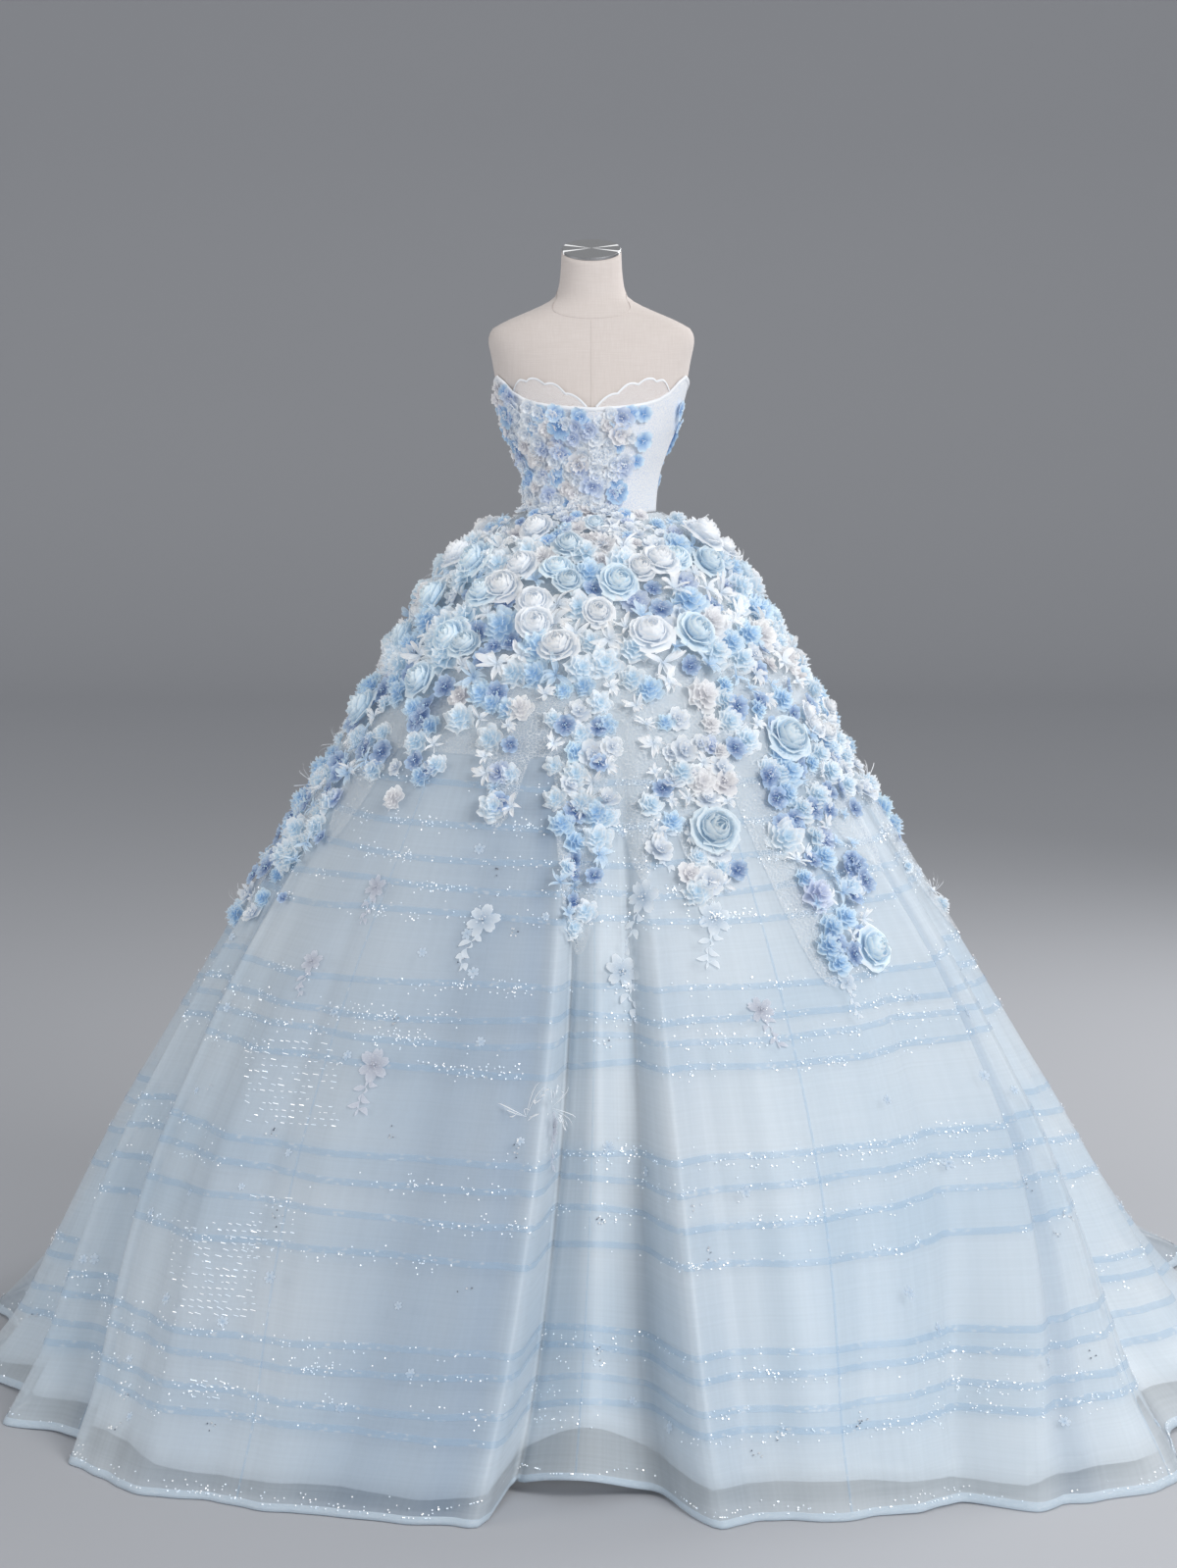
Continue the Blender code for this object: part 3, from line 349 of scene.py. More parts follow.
# How closely the blossoms, faint flowers, glitter and beads are strewn
ROSE_GROWTH = 1.16
TRAIL_TRIES = 260
TRAIL_SPACING = 0.031
FILL_TRIES = 26000
FILL_TOP = 1.490
FILL_SPAN = 0.77
FRONT_HALF = 66.0
CELL = 0.05
BODICE_TRIES = 2600
BODICE_SPACING = 0.0165
FAINT_FLOWERS = 110
HEM_GLITTER_HEIGHT = 0.012
GLITTER_CLUSTERS = 24
GLITTER_FLAKES = 12
FLAKE_HALF = 0.0010
FLAKE_GAP = 0.0034
BEAD_CLUSTERS = 70
BEAD_HALF = 0.0013
BEAD_GAP = 0.0030

# Patches of glitter dashes on the left panels: photo pixels of a box and how many rows it holds
HEM_GLITTER_LIFT = 0.008
GLITTER_TOP = 1.2
BAND_SCATTER = 0.007
DASH_SHARE = 0.72
DASH_SLOPE = 0.06
DASH_PATCHES = table(
    "px0 py0 px1 py1 rows",
    (252, 1060, 346, 1150, 14), (176, 1245, 262, 1345, 15), (194, 1408, 242, 1430, 4),
    (255, 1220, 300, 1290, 8),
)


def linear(hex_colour):
    """Turns an sRGB hex colour into the linear one that a shader takes."""
    parts = [int(hex_colour[place : place + 2], 16) / 255.0 for place in (1, 3, 5)]
    opened = [part / 12.92 if part <= 0.04045 else ((part + 0.055) / 1.055) ** 2.4 for part in parts]
    return (*opened, 1.0)


def colour_property(name, description, hex_colour):
    """Property that holds one colour."""
    settings = {"subtype": "COLOR", "size": 4, "min": 0.0, "max": 1.0, "default": linear(hex_colour)}
    return bpy.props.FloatVectorProperty(name=name, description=description, **settings)


def length_property(name, description, metres):
    """Property that holds one length."""
    return bpy.props.FloatProperty(
        name=name, description=description, unit="LENGTH", subtype="DISTANCE", min=0.0, default=metres
    )


class GownColours(bpy.types.PropertyGroup):
    """Colours of the gown's cloths."""

    organza: colour_property("Organza", "Sheer overskirt", "#E5EDF3")
    organza_shade: colour_property("Organza shade", "Sheer overskirt where its threads lie close", "#CADBE9")
    lining: colour_property("Lining", "Satin under the organza", "#DEE6ED")
    ribbon: colour_property("Ribbon", "Narrow bands and bound hem", "#A9CBE8")
    bodice: colour_property("Bodice", "Beaded net over white satin", "#F2F2F2")
    lace: colour_property("Lace", "Nude lace over the neckline", "#DAC9C3")
    linen: colour_property("Linen", "Cover of the dress form", "#DBD2CD")


class GownSizes(bpy.types.PropertyGroup):
    """Sizes of the gown's trimmings."""

    ribbon_width: length_property("Ribbon width", "Height of one narrow band", 0.0100)
    net_gap: length_property("Net gap", "How far the blossoms' net stands off the organza", 0.0040)
    filler_gap: length_property("Blossom spacing", "Distance between middles of neighbouring blossoms", 0.031)


@functools.lru_cache(maxsize=None)
def curve_knots(rows, key, column, period):
    """Places, values and slopes of a smooth curve through a table's rows that never overshoots."""
    points = sorted((getattr(row, key), getattr(row, column)) for row in rows)
    if period:
        before = [(x - period, y) for x, y in points[-3:]]
        after = [(x + period, y) for x, y in points[:3]]
        points = before + points + after
    x, y = np.array(points, float).T
    slopes = np.diff(y) / np.diff(x)
    left, right = slopes[:-1], slopes[1:]
    product = left * right
    inner = np.where(product > 0, 2 * product / np.where(product > 0, left + right, 1.0), 0.0)
    return x, y, np.concatenate(([slopes[0]], inner, [slopes[-1]]))


def between_rows(rows, key, column, at, period=None):
    """Reads a column between a table's rows, at one place or at many."""
    x, y, tangent = curve_knots(rows, key, column, period)
    place = np.asarray(at, float)
    if period:
        place = (place - x[3]) % period + x[3]
    place = np.clip(place, x[0], x[-1])
    last = np.clip(np.searchsorted(x, place, side="right") - 1, 0, len(x) - 2)
    span = x[last + 1] - x[last]
    u = (place - x[last]) / span
    value = (
        (1 + 2 * u) * (1 - u) ** 2 * y[last]
        + u * (1 - u) ** 2 * span * tangent[last]
        + u * u * (3 - 2 * u) * y[last + 1]
        + u * u * (u - 1) * span * tangent[last + 1]
    )
    return float(value) if np.ndim(at) == 0 else value


def turn_between(bearing, other):
    """Signed angle in degrees from one bearing to another, -180 to 180."""
    return (bearing - other + 180.0) % 360.0 - 180.0


def smooth_step(share):
    """Eases a share from 0 to 1."""
    share = np.clip(share, 0.0, 1.0)
    return share * share * (3.0 - 2.0 * share)


# Skirt surface

LeanPoint = namedtuple("LeanPoint", "bearing upper_bearing lean")
LEAN = tuple(LeanPoint(row.bearing, row.upper_bearing, row.upper_bearing - row.bearing) for row in HEM)


def column_values(bearings):
    """Train, hem radius, lift and lean of each fold line, named by its bearing at the hem."""
    return [
        between_rows(rows, "bearing", column, np.asarray(bearings, float), 360.0)
        for rows, column in ((TRAIN, "reach"), (HEM, "radius"), (HEM, "lift"), (LEAN, "lean"))
    ]


def row_values(levels):
    """Radius, depth ratio, fold share and train share of the skirt at each height."""
    return [
        between_rows(SKIRT_RINGS, "height", column, levels)
        for column in ("radius", "depth_ratio", "fold_share", "train_share")
    ]


def crease_rise(bearings, levels):
    """How far the creases lift or sink the cloth: soft in section, fading out at both ends."""
    rise = np.zeros(levels.shape)
    for crease in CREASES:
        turn = turn_between(np.asarray(bearings), crease.bearing)
        section = np.exp(-((turn / crease.half_width) ** 2))[None, :]
        fade_top = smooth_step((crease.high_height - levels) / 0.50)
        fade_low = smooth_step((levels - crease.low_height + 0.15) / 0.15)
        rise += crease.depth * section * fade_top * fade_low
    return rise


def skirt_grid(bearings, heights, inset=0.0, gap=0.0):
    """Points of the skirt as rows of heights and columns of fold lines.

    heights are the same for every column, or given for each point. inset draws the cloth
    towards the pole, gap moves it out along its own normal.
    """
    train, hem_radius, lift, lean = column_values(bearings)
    levels = np.asarray(heights, float)
    if levels.ndim == 1:
        levels = levels[:, None] + np.zeros((1, len(bearings)))
    radius, depth_ratio, fold_share, train_share = row_values(levels)
    lean_share = 1.0 - (1.0 - np.minimum(1.0, levels / LEAN_HEIGHT)) ** 1.7
    angle = np.radians(np.asarray(bearings)[None, :] + lean[None, :] * lean_share)
    fold = hem_radius - SKIRT_RINGS[-1].radius - train
    roundness = 1.0 / np.hypot(np.sin(angle), np.cos(angle) / depth_ratio)
    reach = radius * roundness + fold[None, :] * fold_share + train[None, :] * train_share
    reach += crease_rise(bearings, levels) - inset
    lifted = (lift[None, :] + HEM_CLEAR) * (1.0 - levels / WAIST_HEIGHT) ** 3
    grid = np.stack((reach * np.sin(angle), -reach * np.cos(angle), levels + lifted), axis=-1)
    return grid + grid_normals(grid) * gap if gap else grid


def grid_normals(grid):
    """Unit normals of a grid that is closed round its columns and runs from high to low or low to high."""
    sideways = np.roll(grid, -1, axis=1) - np.roll(grid, 1, axis=1)
    upwards = np.gradient(grid, axis=0)
    if grid[0, 0, 2] > grid[-1, 0, 2]:
        upwards = -upwards
    normals = np.cross(sideways, upwards)
    return normals / np.linalg.norm(normals, axis=-1, keepdims=True)


def even_bearings(count):
    """Bearings of this many columns, all the way round."""
    return [-180.0 + 360.0 * column / count for column in range(count)]


def grid_faces(rows, columns, closed):
    """Quads of a grid, closed round its columns or open."""
    last = columns if closed else columns - 1
    row, column = np.meshgrid(np.arange(rows - 1), np.arange(last), indexing="ij")
    here, beside = row * columns + column, row * columns + (column + 1) % columns
    return np.stack((here, beside, beside + columns, here + columns), axis=-1).reshape(-1, 4)


def join_grids(grids, closed=True):
    """Points and quads of several grids, closed round their columns or open."""
    faces, first = [], 0
    for grid in grids:
        rows, columns = grid.shape[:2]
        faces.append(grid_faces(rows, columns, closed) + first)
        first += rows * columns
    return np.concatenate([grid.reshape(-1, 3) for grid in grids]), np.concatenate(faces)


def gores(name):
    """The nodes of one cloth's gores."""
    return [f"{name}_{number}" for number in range(1, 12)]


@functools.lru_cache(maxsize=None)
def gown_tree():
    """Search tree of the gown's outer face: bodice and organza."""
    skirt = skirt_grid(even_bearings(360), np.linspace(WAIST_HEIGHT, 0.0, 91))
    bodice = bodice_grid(even_bearings(180), 24)
    points, faces = join_grids((bodice, skirt))
    return BVHTree.FromPolygons(points.tolist(), faces.tolist())


Seat = namedtuple("Seat", "point normal")


def seat_from(hit):
    """Place on a carrier, with a normal that points away from the pole."""
    point, normal = hit[0], hit[1].normalized()
    if normal.dot(Vector((point.x, point.y, 0.0))) < 0:
        normal = -normal
    return Seat(point, normal)


def seat_at_pixel(tree, px, py):
    """Place on a carrier that the camera sees at a pixel; beyond the outline, the nearest one inside it."""
    turn = Euler((math.radians(90.0 - CAMERA_PITCH), 0.0, math.radians(CAMERA_TURN))).to_matrix()
    focal = LENS / SENSOR * IMAGE_HEIGHT
    for step in range(60):
        x = px + math.copysign(2.0 * step, AXIS_PX - px)
        direction = turn @ Vector(((x - IMAGE_WIDTH / 2) / focal, (IMAGE_HEIGHT / 2 - py) / focal, -1.0))
        hit = tree.ray_cast(Vector(CAMERA_PLACE), direction.normalized())
        if hit[0] is not None:
            return seat_from(hit)
    raise RuntimeError(f"nothing carries the blossom at pixel {px}, {py}")


def seat_at_bearing(tree, bearing, height):
    """Place on a carrier at a bearing and a height."""
    angle = math.radians(bearing)
    outside = Vector((math.sin(angle), -math.cos(angle), 0.0))
    hit = tree.ray_cast(outside * 3.0 + Vector((0.0, 0.0, height)), -outside)
    if hit[0] is None:
        raise RuntimeError(f"nothing carries the blossom at bearing {bearing:.0f}, height {height:.3f}")
    return seat_from(hit)


def random_vector(draw, most):
    """Vector with random parts up to this size."""
    return Vector([draw.uniform(-most, most) for _ in range(3)])


def bearing_of(point):
    """Bearing of a point round the pole."""
    return math.degrees(math.atan2(point.x, -point.y))


# Meshes


def add_mesh(name, points, faces, material, uv=None, tint=None, thickness=None, smooth=True):
    """Adds one piece from its points and faces and lets it ride on the gown's body."""
    mesh = bpy.data.meshes.new(name)
    mesh.from_pydata([tuple(point) for point in np.asarray(points).reshape(-1, 3).tolist()], [], faces)
    if smooth:
        mesh.shade_smooth()
    mesh.materials.append(material)
    if uv is not None:
        loops = np.zeros(len(mesh.loops), dtype=np.int32)
        mesh.loops.foreach_get("vertex_index", loops)
        layer = mesh.uv_layers.new(name="cloth")
        layer.data.foreach_set("uv", np.asarray(uv, dtype=np.float32).reshape(-1, 2)[loops].ravel())
    if tint is not None:
        layer = mesh.color_attributes.new(name="tint", type="FLOAT_COLOR", domain="POINT")
        layer.data.foreach_set("color", np.asarray(tint, dtype=np.float32).ravel())
    piece = bpy.data.objects.new(name, mesh)
    bpy.context.scene.collection.objects.link(piece)
    if thickness:
        solid = piece.modifiers.new("cloth thickness", "SOLIDIFY")
        solid.thickness = thickness
        solid.offset = -1.0
    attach(piece, "root")
    return piece


def add_grid(name, grid, closed, material, uv=None, tint=None, thickness=None):
    """Adds one piece from a grid of points, its faces turned outwards."""
    rows, columns = grid.shape[:2]
    faces = grid_faces(rows, columns, closed)
    if grid[0, 0, 2] > grid[-1, 0, 2]:
        faces = faces[:, ::-1]
    return add_mesh(name, grid, faces.tolist(), material, uv, tint, thickness)


def cloth_uv(bearings, heights, round_metres):
    """Cloth coordinates in metres: along the hem and up the cloth."""
    across = np.asarray(bearings)[None, :] / 360.0 * round_metres + np.zeros((len(heights), 1))
    upwards = np.asarray(heights, float)[:, None] + np.zeros((1, len(bearings)))
    return np.stack((across, upwards), axis=-1)


# Materials


def add_node(tree, kind, settings=None, sockets=None):
    """Adds a node with its settings, and gives each socket its value or its link."""
    node = tree.nodes.new(kind)
    for name, value in (settings or {}).items():
        setattr(node, name, value)
    for name, value in (sockets or {}).items():
        if isinstance(value, bpy.types.NodeSocket):
            tree.links.new(value, node.inputs[name])
        else:
            node.inputs[name].default_value = value
    return node


def new_material(name):
    """Empty material and its tree."""
    material = bpy.data.materials.new(name)
    material.use_nodes = True
    material.node_tree.nodes.clear()
    return material, material.node_tree


def add_shader(tree, colour, roughness, more):
    """Principled shader of a colour and a roughness, with further sockets by name."""
    sockets = {"Base Color": colour, "Roughness": roughness, **more}
    return add_node(tree, "ShaderNodeBsdfPrincipled", {}, sockets).outputs["BSDF"]


def finished(material, colour, roughness, more=None):
    """Joins the material's shader to its output and returns the material."""
    tree = material.node_tree
    shader = add_shader(tree, colour, roughness, more or {})
    add_node(tree, "ShaderNodeOutputMaterial", {}, {"Surface": shader})
    return material


def ramp(tree, value, low, high, start=0.0, end=1.0):
    """Share of a value between two limits, held to its start and end."""
    sockets = {"Value": value, "From Min": low, "From Max": high, "To Min": start, "To Max": end}
    return add_node(tree, "ShaderNodeMapRange", {"clamp": True}, sockets).outputs["Result"]


def noise(tree, scale, detail=2.0, place=None):
    """Soft random pattern."""
    sockets = {"Scale": scale, "Detail": detail}
    if place is not None:
        sockets["Vector"] = place
    return add_node(tree, "ShaderNodeTexNoise", {}, sockets).outputs["Fac"]


def stretched_noise(tree, place, stretch, detail):
    """Random pattern drawn out along one direction of a place."""
    mapping = add_node(tree, "ShaderNodeMapping", {}, {"Vector": place, "Scale": stretch})
    return noise(tree, 1.0, detail, mapping.outputs["Vector"])


def cell_pattern(tree, metres, feature="F1"):
    """Pattern of cells this far across."""
    return add_node(tree, "ShaderNodeTexVoronoi", {"feature": feature}, {"Scale": 1.0 / metres})


def mixed(tree, share, low, high):
    """Colour between two others, each a socket, a colour or a hex colour."""
    low, high = (linear(end) if isinstance(end, str) else end for end in (low, high))
    sockets = {"Factor": share, "A": low, "B": high}
    return add_node(tree, "ShaderNodeMix", {"data_type": "RGBA"}, sockets).outputs["Result"]


def computed(tree, operation, *values, clamp=False):
    """Result of a calculation with shares."""
    settings = {"operation": operation, "use_clamp": clamp}
    return add_node(tree, "ShaderNodeMath", settings, dict(enumerate(values))).outputs["Value"]


def relief(tree, strength, metres, height):
    """Normal of a slight relief."""
    sockets = {"Strength": strength, "Distance": metres, "Height": height}
    return add_node(tree, "ShaderNodeBump", {}, sockets).outputs["Normal"]


def organza_material(colours):
    """Silk organza, plain woven of fine glazed threads: a crisp milky veil with faint crosswise ribs."""
    material, tree = new_material("woven_silk_organza")
    cloth = add_node(tree, "ShaderNodeUVMap", {"uv_map": "cloth"}).outputs["UV"]
    # Real threads lie 0.35 mm apart; ribs are drawn 4 mm apart so that they show
    ribs = stretched_noise(tree, cloth, (3.0, 1.0 / 0.004, 1.0), 3.0)
    # Warp streaks of uneven thread, 10 mm apart
    streaks = stretched_noise(tree, cloth, (1.0 / 0.010, 1.4, 1.0), 2.0)
    tint = add_node(tree, "ShaderNodeAttribute", {"attribute_name": "tint"})
    parts = add_node(tree, "ShaderNodeSeparateColor", {}, {"Color": tint.outputs["Color"]})
    # Red carries the ribbon tucks, green the painted shade of the inward folds
    tucked, folded = parts.outputs["Red"], parts.outputs["Green"]
    shade = computed(tree, "ADD", ramp(tree, noise(tree, 5.0, 4.0), 0.25, 0.95), tucked)
    colour = mixed(tree, shade, colours.organza, colours.organza_shade)
    # Painted shade: where a fold turns inwards, the colour is darkened towards a grey blue
    colour = mixed(tree, folded, colour, "#A2B4C8")
    threads = computed(tree, "ADD", ribs, streaks)
    cover = computed(tree, "MULTIPLY_ADD", ramp(tree, threads, 0.6, 1.5), 0.09, 0.50, clamp=True)
    more = {
        "Specular IOR Level": 0.35,
        "Sheen Weight": 0.45,
        "Sheen Roughness": 0.35,
        "Alpha": computed(tree, "MULTIPLY_ADD", tucked, 0.20, cover, clamp=True),
        "Normal": relief(tree, 0.10, 0.0008, threads),
    }
    return finished(material, colour, 0.42, more)


def satin_material(colours):
    """Polyester satin, woven with long floats and calendered: a smooth, softly glossy face."""
    material, tree = new_material("woven_polyester_satin")
    cloth = add_node(tree, "ShaderNodeUVMap", {"uv_map": "cloth"}).outputs["UV"]
    # Floats are 0.2 mm wide; the slight streaks are drawn 12 mm apart so that they show
    streaks = stretched_noise(tree, cloth, (1.0 / 0.012, 2.0, 1.0), 3.0)
    clouds = ramp(tree, noise(tree, 2.6, 3.0), 0.3, 0.8)
    more = {"Sheen Weight": 0.25, "Sheen Roughness": 0.3, "Normal": relief(tree, 0.12, 0.001, streaks)}
    return finished(material, mixed(tree, clouds, colours.lining, colours.organza_shade), 0.38, more)


def ribbon_material(name, ground, alpha):
    """Nylon ribbon, woven and sprinkled with glitter: a pale blue line that catches light in grains."""
    material, tree = new_material(name)
    # Glitter grains are 0.3 mm; they are drawn 3 mm across so that they show
    grains = cell_pattern(tree, 0.003)
    # Grains painted near white: partly the glitter's own silver, partly painted glints
    colour = mixed(tree, ramp(tree, grains.outputs["Color"], 0.80, 0.84), ground, "#F4FAFF")
    normal = relief(tree, 0.4, 0.0006, grains.outputs["Distance"])
    return finished(material, colour, 0.35, {"Sheen Weight": 0.3, "Alpha": alpha, "Normal": normal})


def petal_material(name, alpha, roughness):
    """Silk organza, cut and singed to petals: soft and pale, glowing where light comes through, and with a
    painted glow of their own.
    """
    material, tree = new_material(name)
    tint = add_node(tree, "ShaderNodeVertexColor", {"layer_name": "tint"}).outputs["Color"]
    # Veins and crinkles of a petal, 4 mm apart
    crinkle = noise(tree, 1.0 / 0.004)
    veins = computed(tree, "MULTIPLY", ramp(tree, crinkle, 0.50, 0.70), 0.35)
    tone = mixed(tree, veins, tint, "#FFFFFF")
    more = {
        "Sheen Weight": 0.35,
        "Sheen Roughness": 0.4,
        "Alpha": alpha,
        "Normal": relief(tree, 0.25, 0.0008, crinkle),
        # Painted glow: the petals give off light of their own, standing in for light that wanders between
        # many sheer petals and lifts their shade
        "Emission Color": tone,
        "Emission Strength": 0.14,
    }
    glow = add_node(tree, "ShaderNodeBsdfTranslucent", {}, {"Color": tone}).outputs["BSDF"]
    petal = add_shader(tree, tone, roughness, more)
    both = add_node(tree, "ShaderNodeMixShader", {}, {0: 0.35, 1: petal, 2: glow})
    add_node(tree, "ShaderNodeOutputMaterial", {}, {"Surface": both.outputs["Shader"]})
    return material


def net_material(colours):
    """Nylon net, knitted in open cells and sewn over with beads: barely there, with a grain of pale dots."""
    material, tree = new_material("knitted_nylon_net")
    # Cells are 1.5 mm; they are drawn 5 mm across so that they show
    cells = cell_pattern(tree, 0.005, "DISTANCE_TO_EDGE").outputs["Distance"]
    cover = ramp(tree, cells, 0.02, 0.12, 0.55, 0.12)
    return finished(material, mixed(tree, cover, colours.organza, colours.bodice), 0.6, {"Alpha": cover})


def bodice_material(colours):
    """Beaded tulle over duchesse satin, hand sewn: white cloth with a close grain of pearls and threads."""
    material, tree = new_material("beaded_tulle_on_satin")
    # Beads are 2 mm and lie about 5 mm apart, threads 9 mm
    beads = ramp(tree, cell_pattern(tree, 0.005).outputs["Distance"], 0.18, 0.30, 1.0, 0.0)
    threads = ramp(tree, noise(tree, 1.0 / 0.009, 4.0), 0.42, 0.66)
    colour = mixed(tree, beads, mixed(tree, threads, colours.bodice, "#CDD8EA"), "#FBFCFE")
    more = {"Sheen Weight": 0.2, "Normal": relief(tree, 0.5, 0.0010, beads)}
    return finished(material, colour, 0.45, more)


def lace_material(colours):
    """Cotton and nylon lace, machine embroidered and beaded: nude net with raised cords and dark dots."""
    material, tree = new_material("embroidered_nude_lace")
    # Embroidered cells are 7 mm across, small dark beads lie 9 mm apart
    cells = cell_pattern(tree, 0.007, "DISTANCE_TO_EDGE").outputs["Distance"]
    cords = ramp(tree, cells, 0.05, 0.16, 1.0, 0.0)
    beads = ramp(tree, cell_pattern(tree, 0.009).outputs["Distance"], 0.09, 0.14, 1.0, 0.0)
    colour = mixed(tree, beads, mixed(tree, cords, colours.lace, "#FFFFFF"), "#7E6F6C")
    return finished(material, colour, 0.6, {"Normal": relief(tree, 0.5, 0.0008, cords)})


def linen_material(colours):
    """Linen, plain woven and stretched over the form: matt ivory with a fine slubbed weave."""
    material, tree = new_material("woven_ivory_linen")
    place = add_node(tree, "ShaderNodeTexCoord").outputs["Object"]
    # Threads lie 0.7 mm apart; they are drawn 1.6 mm apart so that they show
    weft = stretched_noise(tree, place, (30.0, 30.0, 1.0 / 0.0016), 2.0)
    warp = stretched_noise(tree, place, (1.0 / 0.0016, 90.0, 24.0), 2.0)
    weave = computed(tree, "MULTIPLY", weft, warp)
    colour = mixed(tree, ramp(tree, weave, 0.02, 0.42), "#D2C8C2", colours.linen)
    more = {"Sheen Weight": 0.15, "Normal": relief(tree, 0.35, 0.0006, weave)}
    return finished(material, colour, 0.85, more)


def steel_material(name, middle=None):
    """Stainless steel, turned and brushed in rings: satin grey, on a disc with painted fans of light."""
    material, tree = new_material(name)
    place = add_node(tree, "ShaderNodeTexCoord").outputs["Object"]
    # Brush lines are 0.1 mm apart; they are drawn 1.5 mm apart so that they show
    colour = mixed(tree, noise(tree, 1.0 / 0.0015, place=place), "#A5A6A8", "#BFC0C2")
    painted_glow = 0.0
    if middle:
        moved = add_node(tree, "ShaderNodeVectorMath", {"operation": "SUBTRACT"}, {0: place, 1: middle})
        parts = add_node(tree, "ShaderNodeSeparateXYZ", {}, {"Vector": moved.outputs["Vector"]}).outputs
        turn = computed(tree, "ARCTAN2", parts["Y"], parts["X"])
        fans = computed(tree, "COSINE", computed(tree, "MULTIPLY", turn, 2.0))
        # Painted reflection: two fans of light, 18 degrees to either side, that cross the disc, painted near
        # white and glowing
        lines = computed(tree, "COMPARE", fans, 0.79, 0.08)
        colour = mixed(tree, lines, colour, "#F4F5F6")
        # Painted glow along the fans of reflected light
        painted_glow = computed(tree, "MULTIPLY", lines, 0.55)
    more = {"Metallic": 1.0, "Emission Color": linear("#FFFFFF"), "Emission Strength": painted_glow}
    return finished(material, colour, 0.34, more)


def enamel_material():
    """Steel sheet, powder coated: an even pale skin with a slight orange peel."""
    material, tree = new_material("powder_coated_steel")
    # Orange peel of 3 mm
    peel = noise(tree, 1.0 / 0.003)
    colour = mixed(tree, ramp(tree, peel, 0.35, 0.7), "#DADBDC", "#E6E7E8")
    return finished(material, colour, 0.4, {"Normal": relief(tree, 0.1, 0.0004, peel)})


def sparkle_material(name, hex_colour, roughness, metallic, painted_glow):
    """Foil or glass, cut in tiny flat facets: painted highlights turn some facets white at random, and a
    painted glow lights them all.
    """
    material, tree = new_material(name)
    # Painted highlights: facets turn white at random over 9 mm, so that neighbours do not flash alike
    facets = ramp(tree, noise(tree, 1.0 / 0.009, 1.0), 0.40, 0.60)
    colour = mixed(tree, facets, hex_colour, "#FFFFFF")
    # Painted glow: the flakes give off a little light of their own
    more = {"Metallic": metallic, "Emission Color": colour, "Emission Strength": painted_glow}
    return finished(material, colour, roughness, more)


def piping_material():
    """Satin bias strip, folded over a cord: smooth and white with a soft gloss."""
    material, tree = new_material("satin_bias_piping")
    # Streaks of the satin's floats, drawn 6 mm apart so that they show
    streaks = ramp(tree, noise(tree, 1.0 / 0.006), 0.3, 0.7)
    return finished(material, mixed(tree, streaks, "#E9EDF4", "#FBFCFD"), 0.4, {"Sheen Weight": 0.2})


def floor_material():
    """Mortar floor, trowelled and sealed: pale, matt and almost even."""
    material, tree = new_material("sealed_pale_mortar")
    clouds = ramp(tree, noise(tree, 1.2, 5.0), 0.3, 0.7)
    return finished(material, mixed(tree, clouds, "#B1B3B8", "#BABCC1"), 0.6)


# Blossom shapes, of radius 1 on the plane z = 0

Shape = namedtuple("Shape", "points faces depth_share")


def joined(shapes):
    """Joins shapes into one."""
    faces, first = [], 0
    for shape in shapes:
        faces += [tuple(first + corner for corner in face) for face in shape.faces]
        first += len(shape.points)
    points = np.concatenate([shape.points for shape in shapes])
    return Shape(points, faces, np.concatenate([shape.depth_share for shape in shapes]))


def petal_shares(rows, columns, root=0.0):
    """Shares from the root of a petal to its tip, and from side to side."""
    return np.meshgrid(np.linspace(root, 1.0, rows), np.linspace(-1.0, 1.0, columns), indexing="ij")


def grid_shape(across, along, tall, depth_share):
    """Shape from the grids of its coordinates and of its share between core and edge colour."""
    points = np.stack((across, along, tall), axis=-1).reshape(-1, 3)
    faces = [tuple(face) for face in grid_faces(*across.shape, False).tolist()]
    return Shape(points, faces, depth_share.reshape(-1))


def turned(shape, angle):
    """Shape turned about the vertical."""
    cosine, sine = math.cos(angle), math.sin(angle)
    turn = np.array(((cosine, sine, 0.0), (-sine, cosine, 0.0), (0.0, 0.0, 1.0)))
    return shape._replace(points=shape.points @ turn)


def rose_petal(ring, inward, draw):
    """One wrapping petal of a rose: it closes over the bud or rolls its lip outwards."""
    up, side = petal_shares(6, 5)
    roll = np.clip((up - 0.72) / 0.28, 0.0, 1.0)
    belly = np.sin(np.minimum(1.0, up * 1.35) * math.pi / 2)
    reach = ring.radius * (0.30 + 0.70 * belly) * (1.0 - inward * roll) + ring.lip * roll**1.5
    reach += 0.06 * side * ring.radius + 0.025 * up * np.sin(4.0 * side + draw.uniform(0.0, 6.0))
    reach += 0.035 * roll * np.sin(7.5 * side + draw.uniform(0.0, 6.0))
    tall = ring.height * (1.0 - 0.20 * side**2) * up**0.9 - 0.6 * ring.lip * roll**2
    angle = ring.half_span * side * (1.0 - 0.15 * roll)
    # Petal roots deep in the rose take more of the core colour: partly the rose's own colour, partly painted
    # shade between the petals
    return grid_shape(reach * np.sin(angle), reach * np.cos(angle), tall, 0.40 + 0.45 * up + 0.28 * roll**2)


# Rings of a rose's petals, from the bud outwards
ROSE_RINGS = table(
    "petals radius height half_span lip inward",
    (3, 0.22, 1, 1.35, 0, 0.6), (4, 0.38, 0.98, 1.15, 0, 0.44), (5, 0.52, 0.9, 1.02, 0, 0.28),
    (5, 0.62, 0.78, 0.98, 0.05, 0.14), (6, 0.72, 0.62, 0.86, 0.13, 0.02), (7, 0.82, 0.4, 0.74, 0.2, 0),
)


